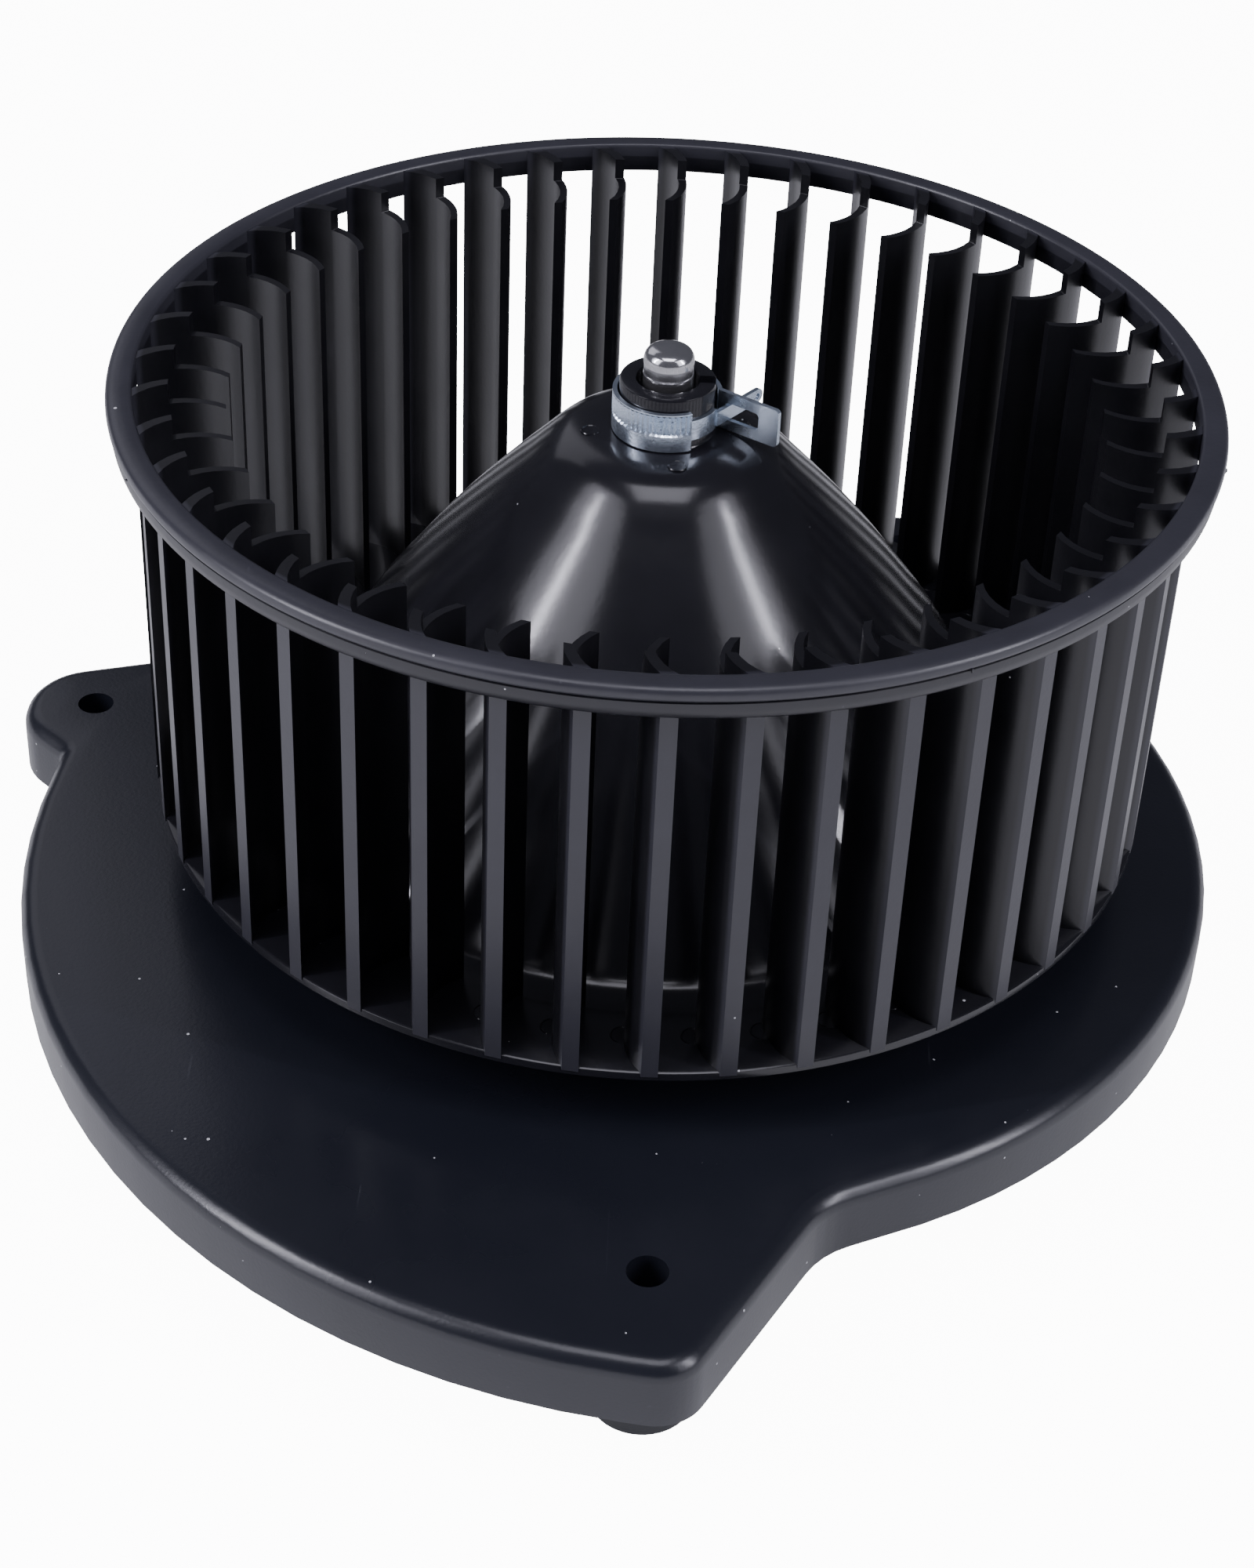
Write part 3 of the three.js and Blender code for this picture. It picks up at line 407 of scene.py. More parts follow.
# %% Scratches: hairlines along one direction
scratches, given, out = new_effect(
    "hairlines",
    {"Position": None, "Fineness": 900.0, "Stretch": 0.03, "Share": 0.66},
    {"Mask": "NodeSocketFloat"},
)
longways = put(scratches, "ShaderNodeCombineXYZ", {"X": 1.0, "Z": 1.0}, {"Y": given["Stretch"]})
drawn_out = put(
    scratches, "ShaderNodeVectorMath", None, {0: given["Position"], 1: longways.outputs[0]},
    operation="MULTIPLY"
)
lines = put(
    scratches, "ShaderNodeTexNoise", {"Detail": 2, "Distortion": 0.4},
    {"Vector": drawn_out.outputs[0], "Scale": given["Fineness"]}
)
top_only = put(
    scratches, "ShaderNodeMath", {2: 0.02}, {0: lines.outputs["Fac"], 1: given["Share"]},
    operation="SUBTRACT"
)
strong = put(
    scratches, "ShaderNodeMath", {1: 14.0}, {0: top_only.outputs[0]}, operation="MULTIPLY", use_clamp=True
)
scratches.links.new(strong.outputs[0], out["Mask"])
print("effect: hairlines")

# %% Outer sheen and wear: lighter far from the axis and above a level; partly rubbed wear, partly painted sheen where edges catch the light
sheen_and_wear, given, out = new_effect(
    "outer_sheen_and_wear",
    {"Position": None, "From Radius": 0.0815, "Full Radius": 0.0825, "From Level": -1.0, "Full Level": -0.9,
     "Patch Size": 90.0, "Patchiness": 0.5},
    {"Mask": "NodeSocketFloat"},
)
flat = put(sheen_and_wear, "ShaderNodeVectorMath", {1: (1, 1, 0)}, {0: given["Position"]}, operation="MULTIPLY")
radius = put(sheen_and_wear, "ShaderNodeVectorMath", None, {0: flat.outputs[0]}, operation="LENGTH")
outer = put(
    sheen_and_wear, "ShaderNodeMapRange", None,
    {"Value": radius.outputs["Value"], "From Min": given["From Radius"], "From Max": given["Full Radius"]}
)
lengths = put(sheen_and_wear, "ShaderNodeSeparateXYZ", None, {"Vector": given["Position"]})
upper = put(
    sheen_and_wear, "ShaderNodeMapRange", None,
    {"Value": lengths.outputs["Z"], "From Min": given["From Level"], "From Max": given["Full Level"]}
)
reached = put(
    sheen_and_wear, "ShaderNodeMath", None, {0: outer.outputs[0], 1: upper.outputs[0]}, operation="MULTIPLY"
)
patches = put(
    sheen_and_wear, "ShaderNodeTexNoise", {"Detail": 5, "Roughness": 0.65},
    {"Vector": given["Position"], "Scale": given["Patch Size"]}
)
thin = put(
    sheen_and_wear, "ShaderNodeMath", None, {0: patches.outputs["Fac"], 1: given["Patchiness"]}, operation="MULTIPLY"
)
rest = put(sheen_and_wear, "ShaderNodeMath", {0: 1.0}, {1: thin.outputs[0]}, operation="SUBTRACT")
sheen_and_wear_mask = put(sheen_and_wear, "ShaderNodeMath", None, {0: reached.outputs[0], 1: rest.outputs[0]}, operation="MULTIPLY")
sheen_and_wear.links.new(sheen_and_wear_mask.outputs[0], out["Mask"])
print("effect: outer_sheen_and_wear")

# %% [markdown]
# ## Materials
#
# A material here is one Principled shader fed by the effects above. Values that are the same all over,
# such as the metallic of a plated part, are set on the shader itself. The helper lays effects on top of
# each other: the skin first, then wear with its painted sheen, hairlines and dust, each with its own strength.

# %% Building a material
def material_of(name, skin_values, metallic=0.0, grain=0.02, sheen_and_wear_tone=None, sheen_and_wear_values=None, dust_values=None,
                dust_tone=(0.5, 0.5, 0.52, 1), scratch_values=None, scratch_tone=(0.2, 0.2, 0.22, 1)):
    made = bpy.data.materials.new(name)
    made.use_nodes = True
    tree = made.node_tree
    shader = tree.nodes["Principled BSDF"]
    shader.inputs["Metallic"].default_value = metallic
    place = put(tree, "ShaderNodeTexCoord").outputs["Object"]

    def effect(group, values):
        node = put(tree, "ShaderNodeGroup", None, None, node_tree=group)
        tree.links.new(place, node.inputs["Position"])
        for key, value in values.items():
            node.inputs[key].default_value = value
        return node

    base = effect(skin, skin_values)
    colour = base.outputs["Color"]

    def over(mask, tone):
        mix = put(tree, "ShaderNodeMix", None, {"Factor": mask}, data_type="RGBA")
        tree.links.new(colour, mix.inputs[6])
        mix.inputs[7].default_value = tone
        return mix.outputs[2]

    # the lighter outer layer is partly wear and partly a painted sheen
    if sheen_and_wear_values:
        colour = over(effect(sheen_and_wear, sheen_and_wear_values).outputs["Mask"], sheen_and_wear_tone)
    if scratch_values:
        colour = over(effect(scratches, scratch_values).outputs["Mask"], scratch_tone)
    if dust_values:
        colour = over(effect(dust, dust_values).outputs["Mask"], dust_tone)
    bump = put(
        tree, "ShaderNodeBump", {"Strength": grain, "Distance": 0.0002}, {"Height": base.outputs["Height"]}
    )
    tree.links.new(colour, shader.inputs["Base Color"])
    tree.links.new(base.outputs["Roughness"], shader.inputs["Roughness"])
    tree.links.new(bump.outputs["Normal"], shader.inputs["Normal"])
    print("material:", name)
    return made


# %% Black plastics
flange_black = material_of(
    "satin_black_flange",
    {"Tone": (0.0075, 0.0085, 0.013, 1), "Cloud Tone": (0.010, 0.011, 0.016, 1), "Cloud Size": 22.0,
     "Roughness": 0.28, "Roughness Change": 0.08, "Grain Size": 1800.0},
    grain=0.10,
    scratch_values={"Fineness": 500.0, "Stretch": 0.05, "Share": 0.74}, scratch_tone=(0.03, 0.032, 0.04, 1),
    dust_values={"Spread": 300.0, "Speck": 0.075, "Share": 0.36},
)
dome_black = material_of(
    "glossy_black_dome",
    {"Tone": (0.007, 0.007, 0.009, 1), "Cloud Tone": (0.010, 0.010, 0.013, 1), "Cloud Size": 45.0,
     "Roughness": 0.18, "Roughness Change": 0.10, "Grain Size": 1200.0},
    grain=0.04,
    dust_values={"Spread": 260.0, "Speck": 0.08, "Share": 0.16},
)
blade_black = material_of(
    "blade_black",
    {"Tone": (0.0045, 0.0045, 0.006, 1), "Cloud Tone": (0.007, 0.007, 0.009, 1), "Cloud Size": 60.0,
     "Roughness": 0.34, "Roughness Change": 0.15, "Grain Size": 1500.0},
    grain=0.08,
    # lighter blade tips: partly rubbed wear, partly a painted sheen where the tips catch the light
    sheen_and_wear_tone=(0.026, 0.026, 0.034, 1),
    sheen_and_wear_values={"From Radius": 0.0819, "Full Radius": 0.0825, "Patchiness": 0.45},
    dust_values={"Spread": 140.0, "Speck": 0.04, "Share": 0.15},
)
rim_black = material_of(
    "scuffed_rim_with_painted_sheen",
    {"Tone": (0.0075, 0.0075, 0.0105, 1), "Cloud Tone": (0.011, 0.011, 0.015, 1), "Cloud Size": 70.0,
     "Roughness": 0.36, "Roughness Change": 0.3, "Grain Size": 900.0},
    grain=0.12,
    # lighter top and bead: partly scuffing, partly painted light where the top faces the lamps; the band below
    # keeps the dark tone
    sheen_and_wear_tone=(0.034, 0.034, 0.043, 1),
    sheen_and_wear_values={"From Radius": 0.080, "Full Radius": 0.081, "From Level": (RIM_TOP - 2.4) * MM,
                 "Full Level": (RIM_TOP - 2.2) * MM, "Patch Size": 60.0, "Patchiness": 0.7},
    scratch_values={"Fineness": 600.0, "Stretch": 0.2, "Share": 0.74}, scratch_tone=(0.05, 0.05, 0.06, 1),
    dust_values={"Spread": 300.0, "Speck": 0.08, "Share": 0.35},
)
fitting_black = material_of(
    "moulded_black_fittings",
    {"Tone": (0.012, 0.012, 0.014, 1), "Cloud Tone": (0.019, 0.019, 0.022, 1), "Cloud Size": 50.0,
     "Roughness": 0.5, "Roughness Change": 0.12, "Grain Size": 1600.0},
    grain=0.15,
    dust_values={"Spread": 220.0, "Speck": 0.05, "Share": 0.25},
)

# %% Metals
zinc_plate = material_of(
    "bright_zinc_plate",
    {"Tone": (0.60, 0.70, 0.82, 1), "Cloud Tone": (0.74, 0.82, 0.92, 1), "Cloud Size": 180.0,
     "Roughness": 0.24, "Roughness Change": 0.25, "Grain Size": 2500.0},
    metallic=0.95, grain=0.12,
    scratch_values={"Fineness": 1500.0, "Stretch": 0.2, "Share": 0.68}, scratch_tone=(0.30, 0.33, 0.38, 1),
)
ground_steel = material_of(
    "ground_steel_shaft",
    {"Tone": (0.56, 0.56, 0.57, 1), "Cloud Tone": (0.66, 0.66, 0.67, 1), "Cloud Size": 200.0,
     "Roughness": 0.16, "Roughness Change": 0.10, "Grain Size": 3000.0},
    metallic=0.95, grain=0.03,
)
can_steel = material_of(
    "drawn_steel_can",
    {"Tone": (0.34, 0.35, 0.36, 1), "Cloud Tone": (0.46, 0.47, 0.48, 1), "Cloud Size": 90.0,
     "Roughness": 0.38, "Roughness Change": 0.25, "Grain Size": 1200.0},
    metallic=1.0, grain=0.08,
    scratch_values={"Fineness": 700.0, "Stretch": 0.1, "Share": 0.68}, scratch_tone=(0.2, 0.2, 0.21, 1),
)
core_iron = material_of(
    "stacked_core_iron",
    {"Tone": (0.16, 0.16, 0.17, 1), "Cloud Tone": (0.24, 0.23, 0.23, 1), "Cloud Size": 120.0,
     "Roughness": 0.5, "Roughness Change": 0.2, "Grain Size": 1500.0},
    metallic=0.9, grain=0.2,
    scratch_values={"Fineness": 900.0, "Stretch": 0.4, "Share": 0.66}, scratch_tone=(0.1, 0.1, 0.1, 1),
)
copper_wire = material_of(
    "enamelled_copper",
    {"Tone": (0.42, 0.13, 0.05, 1), "Cloud Tone": (0.56, 0.20, 0.09, 1), "Cloud Size": 300.0,
     "Roughness": 0.34, "Roughness Change": 0.2, "Grain Size": 1200.0},
    metallic=0.85, grain=0.4,
)
bronze = material_of(
    "sintered_bronze",
    {"Tone": (0.36, 0.21, 0.08, 1), "Cloud Tone": (0.46, 0.29, 0.13, 1), "Cloud Size": 250.0,
     "Roughness": 0.48, "Roughness Change": 0.2, "Grain Size": 3000.0},
    metallic=0.9, grain=0.25,
)

# %% Other finishes
rubber = material_of(
    "isolator_rubber",
    {"Tone": (0.010, 0.010, 0.010, 1), "Cloud Tone": (0.018, 0.018, 0.018, 1), "Cloud Size": 80.0,
     "Roughness": 0.8, "Roughness Change": 0.1, "Grain Size": 1400.0},
    grain=0.3,
)
ferrite = material_of(
    "pressed_ferrite",
    {"Tone": (0.022, 0.021, 0.022, 1), "Cloud Tone": (0.036, 0.034, 0.034, 1), "Cloud Size": 150.0,
     "Roughness": 0.68, "Roughness Change": 0.15, "Grain Size": 1800.0},
    grain=0.35,
)
carbon = material_of(
    "carbon_brush",
    {"Tone": (0.016, 0.016, 0.017, 1), "Cloud Tone": (0.030, 0.030, 0.032, 1), "Cloud Size": 400.0,
     "Roughness": 0.6, "Roughness Change": 0.2, "Grain Size": 2600.0},
    metallic=0.2, grain=0.25,
)
card = material_of(
    "resin_card",
    {"Tone": (0.16, 0.07, 0.03, 1), "Cloud Tone": (0.24, 0.11, 0.05, 1), "Cloud Size": 200.0,
     "Roughness": 0.6, "Roughness Change": 0.15, "Grain Size": 1500.0},
    grain=0.2,
)

# %% [markdown]
# ## Finishes for the CAD pieces that stay
#
# The motor, its inside and its connector keep their CAD bodies, because those are already the right shape
# and show only from below or when the blower is taken apart. Each gets its real finish in place of the
# plain one.

# %% Give the kept pieces their finishes
kept_finishes = {
    "isolator_ring": rubber, "motor_can": can_steel, "motor_end_cap": fitting_black, "magnet_1": ferrite,
    "magnet_2": ferrite, "lower_bearing": bronze, "upper_bearing": bronze, "brush_card": card,
    "brush_holder_1": bronze, "brush_holder_2": bronze, "brush_1": carbon, "brush_2": carbon,
    "connector_housing": fitting_black,
    "terminal_1": bronze, "terminal_2": bronze, "motor_screw_1": zinc_plate, "motor_screw_2": zinc_plate,
    "motor_screw_3": zinc_plate, "armature_stack": core_iron, "armature_winding": copper_wire,
    "commutator": copper_wire, "thrust_washer_1": card, "thrust_washer_2": card,
}
for node, finish in kept_finishes.items():
    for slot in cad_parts[node].material_slots:
        slot.material = finish
print(len(kept_finishes), "CAD pieces finished")

# %% [markdown]
# ## The mounting flange
#
# The flange is one shallow moulded tray: a flat top, a rolled edge and a skirt, with three ears for
# screws. Its outline is neither round nor square, so it isn't drawn again here: the CAD body is sliced at
# half its skirt's height, and the outer line of that slice is filled, pulled up into a tray, and given
# its rolled edge by a bevel. A Solidify pass could make the wall, but cutting the inside out keeps the
# holes and the posts clean.

# %% Slice the CAD body for its outline
TRAY_TOP = 26.5
SKIRT_FOOT = 15.0
TRAY_WALL = 2.5
EDGE_ROLL = 3.0


def outer_slice(node, level):
    """The outermost closed line of a CAD node at a level, as a new bmesh of edges."""
    shape = bmesh.new()
    shape.from_mesh(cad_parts[node].data)
    bmesh.ops.remove_doubles(shape, verts=shape.verts, dist=0.002 * MM)
    everything = shape.verts[:] + shape.edges[:] + shape.faces[:]
    bmesh.ops.bisect_plane(
        shape, geom=everything, plane_co=(0, 0, level * MM), plane_no=(0, 0, 1), clear_inner=True,
        clear_outer=True,
    )
    bmesh.ops.remove_doubles(shape, verts=shape.verts, dist=0.02 * MM)
    outermost = max(shape.verts, key=lambda v: v.co.length)
    loop, front = {outermost}, [outermost]
    while front:
        for edge in front.pop().link_edges:
            for vert in edge.verts:
                if vert not in loop:
                    loop.add(vert)
                    front.append(vert)
    bmesh.ops.delete(shape, geom=[v for v in shape.verts if v not in loop], context="VERTS")
    return shape


def plate_from(outline, foot, top, roll=0.0):
    """Fill an outline, stand it on a level and pull it up to another, with a rolled top edge."""
    bmesh.ops.contextual_create(outline, geom=outline.edges[:])
    for vert in outline.verts:
        vert.co.z = foot * MM
    pulled = bmesh.ops.extrude_face_region(outline, geom=outline.faces[:])["geom"]
    bmesh.ops.translate(
        outline, vec=(0, 0, (top - foot) * MM),
        verts=[g for g in pulled if isinstance(g, bmesh.types.BMVert)]
    )
    bmesh.ops.recalc_face_normals(outline, faces=outline.faces)
    if roll:
        edge_line = [e for e in outline.edges if all(v.co.z > (top - 0.01) * MM for v in e.verts)]
        bmesh.ops.bevel(
            outline, geom=edge_line, offset=roll * MM, offset_type="OFFSET", segments=7, profile=0.5,
            affect="EDGES",
            clamp_overlap=False, material=-1,
        )
    return outline


tray_shape = plate_from(outer_slice("mounting_flange", 18), SKIRT_FOOT, TRAY_TOP, EDGE_ROLL)
tray = finished(tray_shape, "tray", "base", flange_black, smooth=50)
print("tray box", [round(v / MM, 1) for v in tray.dimensions])

# %% [markdown]
# The inside of the tray is the same outline pulled in by the wall. The operator that insets a
# region keeps the wall even all round. The motor's opening and the three screw holes are drilled last.

# %% Hollow the tray and drill it
WELL_BORE = 35.5
WELL_RADIUS = 38.5
EARS = {"left": (102.7, 166.4), "front": (109.3, 271.9), "back": (104.0, 62.6)}
HOLE_RADIUS = 3.15


def inner_outline():
    outline = outer_slice("mounting_flange", 18)
    bmesh.ops.contextual_create(outline, geom=outline.edges[:])
    bmesh.ops.recalc_face_normals(outline, faces=outline.faces)
    middle = outline.faces[:]
    walls = bmesh.ops.inset_region(
        outline, faces=middle, thickness=TRAY_WALL * MM, use_even_offset=True, use_boundary=True
    )
    bmesh.ops.delete(outline, geom=walls["faces"], context="FACES")
    bmesh.ops.delete(outline, geom=outline.faces[:], context="FACES_ONLY")
    return outline


hollow = plate_from(inner_outline(), SKIRT_FOOT - 2, TRAY_TOP - TRAY_WALL, 1.2)
opening = peg(WELL_BORE + 1.5, SKIRT_FOOT, TRAY_TOP + 1, sides=96)
drills = [peg(HOLE_RADIUS, SKIRT_FOOT - 5, TRAY_TOP + 1, out, angle) for out, angle in EARS.values()]
cut_away(tray, [hollow, opening, *drills], smooth=50)

# %% [markdown]
# Under the tray stand the parts that do the work: the well that holds the motor in its rubber ring,
# twelve ribs that stiffen the tray, three long bosses that reach the blower housing, and three posts for
# the motor's screws. Each is a spin or a thin box with a soft edge, and they overlap the tray as they
# would in one moulding.

# %% The motor well
WELL_TOP = 44.0
WELL_FOOT = 10.0
CAN_GAP = 31.8
well_shape = turned([
    (WELL_BORE, WELL_FOOT), (WELL_RADIUS - 0.6, WELL_FOOT), (WELL_RADIUS, WELL_FOOT + 0.6),
    (WELL_RADIUS, TRAY_TOP - 0.2),
    (WELL_RADIUS, TRAY_TOP + 0.2), (WELL_RADIUS, WELL_TOP - 1.2), (WELL_RADIUS - 0.35, WELL_TOP - 0.35),
    (WELL_RADIUS - 1.2, WELL_TOP), (CAN_GAP + 0.5, WELL_TOP), (CAN_GAP, WELL_TOP - 0.5),
    (CAN_GAP, WELL_TOP - 2), (WELL_BORE, WELL_TOP - 2),
], 96)
finished(well_shape, "motor_well", "base", flange_black)

# %% Ribs and posts under the tray
FLANGE_RADIUS = 96.5
RIBS = 12
rib_length = FLANGE_RADIUS - TRAY_WALL / 2 - WELL_RADIUS + 1
rib_shape = block(
    (rib_length, 2.0, TRAY_TOP - TRAY_WALL - SKIRT_FOOT - 1.8),
    (WELL_RADIUS - 0.5 + rib_length / 2, 0, 19.5)
)
bmesh.ops.bevel(
    rib_shape, geom=[e for e in rib_shape.edges if all(v.co.z < 17.5 * MM for v in e.verts)],
    offset=0.5 * MM,
    offset_type="OFFSET", segments=3, profile=0.5, affect="EDGES", material=-1,
)
finished(ring_of(rib_shape, RIBS, 15), "tray_ribs", "base", flange_black)

SCREW_CIRCLE = 42.0
post_shape = turned(
    [(2.3, WELL_FOOT), (4.1, WELL_FOOT), (4.5, WELL_FOOT + 0.4), (4.5, 24.5), (2.3, 24.5)], 32
)
bmesh.ops.translate(post_shape, vec=(SCREW_CIRCLE * MM, 0, 0), verts=post_shape.verts)
finished(ring_of(post_shape, 3, 30), "screw_posts", "base", flange_black)

# %% The three long bosses
bosses_shape = bmesh.new()
for out, angle in EARS.values():
    boss = turned([
        (HOLE_RADIUS, 0), (7.4, 0), (8, 0.6), (8, 22), (8.6, 23.4), (9.6, 24.3), (HOLE_RADIUS, 24.3),
    ], 48)
    bmesh.ops.translate(boss, vec=at(out, angle), verts=boss.verts)
    added(bosses_shape, boss)
finished(bosses_shape, "mounting_bosses", "base", flange_black)
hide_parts("mounting_flange")

# %% [markdown]
# ## The blower wheel
#
# The wheel is a single moulding: a dome with a collar, a flat ring at its foot, 44 forward-curved blades,
# and a rim that ties their tips. It could be one mesh, but four pieces give each surface its own finish.
# All of them turn with the rotor.

# %% Dome, plate and collar
PLATE_TOP = WHEEL_FOOT + 1.7
CROWN = 103.1
COLLAR_TOP = 111.9
COLLAR_RADIUS = 7.6
dome_line = smooth_line([
    (8.4, CROWN + 0.05), (12, CROWN - 0.1), (15.3, CROWN - 0.8), (17.6, CROWN - 2.1), (19.8, CROWN - 4.2),
    (22.2, CROWN - 6.8),
    (26.6, CROWN - 11.5), (32.2, CROWN - 17.8), (38, CROWN - 24.8), (43.2, CROWN - 31.8),
    (47.9, CROWN - 38.2),
    (51.8, CROWN - 44.5), (56.4, CROWN - 51.2), (60.5, CROWN - 57.2), (63.6, PLATE_TOP + 1.5),
    (66.2, PLATE_TOP + 0.4), (69.5, PLATE_TOP),
])
hub_profile = [
    (69.5, PLATE_TOP), (82.4, PLATE_TOP), (82.75, PLATE_TOP - 0.25), (82.8, PLATE_TOP - 0.8),
    (82.8, WHEEL_FOOT + 0.2),
    (82.6, WHEEL_FOOT), (61.5, WHEEL_FOOT), (59.0, CROWN - 58.4), (50.3, CROWN - 46), (36.5, CROWN - 26.3),
    (25.0, CROWN - 13.0), (18.3, CROWN - 5.5), (14.0, CROWN - 2.3), (8.6, CROWN - 2), (8.6, CROWN - 14),
    (4.3, CROWN - 14),
    (4.3, COLLAR_TOP - 2.4), (5.0, COLLAR_TOP - 2.4), (5.0, COLLAR_TOP - 0.15), (5.15, COLLAR_TOP),
    (COLLAR_RADIUS - 0.35, COLLAR_TOP), (COLLAR_RADIUS - 0.1, COLLAR_TOP - 0.1),
    (COLLAR_RADIUS, COLLAR_TOP - 0.35), (COLLAR_RADIUS, CROWN + 0.5), (COLLAR_RADIUS + 0.2, CROWN + 0.15),
]
hub = finished(
    turned(hub_profile + dome_line[:-1], 176), "wheel_hub", "rotor", dome_black, smooth=40
)
collar_slot = block((8, 2.2, 10), (8.2, 0, CROWN + 5.6))
cut_away(hub, [collar_slot], smooth=40)

# %% [markdown]
# ### One blade, then forty-four
#
# Seen from above a blade is a hook between two arcs: a tight one on its hollow face and a wider one on
# its back, so it thickens towards its tip. Spinning one point about each arc's centre draws the two
# lines, bridging them fills the hook, and pulling it up makes the blade. The part nearest the axis ends
# lower than the tip, as a step.

# %% Blade
BLADE_FOOT = WHEEL_FOOT + 0.9
TIP_TOP = RIM_TOP - 0.4
STEP_TOP = RIM_TOP - 3.9
STEP_RADIUS = 77.4
FIRST_BLADE = -0.5
BLADES = 44


def meets(out, side, radius, wheel_radius):
    """The direction, from an arc's centre, of the point where it meets a circle about the axis."""
    away = math.hypot(out, side)
    cosine = (wheel_radius ** 2 - away ** 2 - radius ** 2) / (2 * away * radius)
    return math.degrees(math.atan2(side, out) - math.acos(cosine))


def arc_line(shape, out, side, radius, inner, outer, steps):
    """Draw an arc by spinning one point about the arc's centre."""
    start = meets(out, side, radius, inner)
    end = meets(out, side, radius, outer)
    centre = Vector((out, side, 0)) * MM
    first = shape.verts.new(centre + at(radius, start))
    bmesh.ops.spin(
        shape, geom=[first], cent=centre, axis=(0, 0, 1), angle=math.radians(end - start), steps=steps
    )


blade = bmesh.new()
arc_line(blade, 74.84, 10.41, 9.9, 68.7, 82.9, 9)
arc_line(blade, 75.37, 10.41, 11.3, 68.7, 82.9, 9)
bmesh.ops.bridge_loops(blade, edges=blade.edges[:])
everything = blade.verts[:] + blade.edges[:] + blade.faces[:]
bmesh.ops.bisect_plane(blade, geom=everything, plane_co=(STEP_RADIUS * MM, 0, 0), plane_no=(1, -0.05, 0))
bmesh.ops.translate(blade, vec=(0, 0, BLADE_FOOT * MM), verts=blade.verts)
raised = bmesh.ops.extrude_face_region(blade, geom=blade.faces[:])["geom"]
bmesh.ops.translate(
    blade, vec=(0, 0, (STEP_TOP - BLADE_FOOT) * MM),
    verts=[g for g in raised if isinstance(g, bmesh.types.BMVert)]
)
tip_faces = [
    f for f in blade.faces
    if f.calc_center_median().x > STEP_RADIUS * MM and all(v.co.z > (STEP_TOP - 0.01) * MM for v in f.verts)
]
raised = bmesh.ops.extrude_face_region(blade, geom=tip_faces)["geom"]
bmesh.ops.translate(
    blade, vec=(0, 0, (TIP_TOP - STEP_TOP) * MM),
    verts=[g for g in raised if isinstance(g, bmesh.types.BMVert)]
)
bmesh.ops.recalc_face_normals(blade, faces=blade.faces)
print("one blade:", len(blade.faces), "faces")

# %% The row of blades
finished(
    ring_of(blade, BLADES, FIRST_BLADE), "wheel_blades", "rotor", blade_black, smooth=30
)

# %% [markdown]
# ### Rim
#
# The rim's mould halves met just below a round bead, which leaves a fine crease round it and a few ragged
# bits of flash. The bead, the crease and the band below it are one profile, spun. The flash is a few
# squashed low spheres half sunk in the bead.

# %% Rim
RIM_BORE = 82.9
FLASH = [  # angle, level under the rim's top, size
    (158, -1.9, 0.5), (177, -2.3, 0.7), (181, -2.6, 0.45), (3, -2.2, 0.6),
    (9, -2.5, 0.4), (348, -2.3, 0.5), (300, -2.4, 0.3), (205, -2.4, 0.35),
]
rim_profile = smooth_line([
    (RIM_RADIUS - 0.55, RIM_TOP - 2.35), (RIM_RADIUS - 0.10, RIM_TOP - 1.95), (RIM_RADIUS, RIM_TOP - 1.3),
    (RIM_RADIUS - 0.25, RIM_TOP - 0.5), (RIM_RADIUS - 1.0, RIM_TOP - 0.08), (RIM_RADIUS - 2.0, RIM_TOP),
], 3) + [
    (RIM_BORE + 0.5, RIM_TOP), (RIM_BORE + 0.1, RIM_TOP - 0.2), (RIM_BORE, RIM_TOP - 0.6),
    (RIM_BORE, RIM_TOP - 5.0), (RIM_RADIUS - 1.6, RIM_TOP - 5.3), (RIM_RADIUS - 0.9, RIM_TOP - 5.2),
    (RIM_RADIUS - 0.55, RIM_TOP - 4.8),
    (RIM_RADIUS - 0.38, RIM_TOP - 3.6), (RIM_RADIUS - 0.42, RIM_TOP - 2.6),
    (RIM_RADIUS - 0.68, RIM_TOP - 2.45),
]
rim_shape = turned(rim_profile, 264)
for k, (angle, level, size) in enumerate(FLASH):
    flash = bmesh.new()
    bmesh.ops.create_icosphere(flash, subdivisions=1, radius=size * MM)
    bmesh.ops.scale(flash, vec=(0.9, 1.6, 0.5), verts=flash.verts)
    bmesh.ops.rotate(
        flash, cent=(0, 0, 0), matrix=Matrix.Rotation(math.radians(angle + 25 * k), 3, "X"),
        verts=flash.verts
    )
    bmesh.ops.rotate(
        flash, cent=(0, 0, 0), matrix=Matrix.Rotation(math.radians(angle), 3, "Z"), verts=flash.verts
    )
    bmesh.ops.translate(flash, vec=at(RIM_RADIUS - 0.15, angle, RIM_TOP + level), verts=flash.verts)
    added(rim_shape, flash)
finished(rim_shape, "wheel_rim", "rotor", rim_black, smooth=50)

# %% [markdown]
# ### Ejector marks
#
# Pins push a moulding out of its tool, and each leaves a shallow round mark: one between every two blades
# on the plate, and a few on the crown. A thin disc with a raised lip, a twentieth of a millimetre high,
# catches the light as the real mark does.

# %% Ejector marks
def pin_mark(radius, out, angle, level):
    mark = turned([
        (0.01, -0.05), (radius - 0.25, -0.05), (radius - 0.12, 0.06), (radius, 0.06), (radius + 0.1, -0.1),
        (0.01, -0.1),
    ], 16)
    bmesh.ops.translate(mark, vec=at(out, angle, level), verts=mark.verts)
    return mark


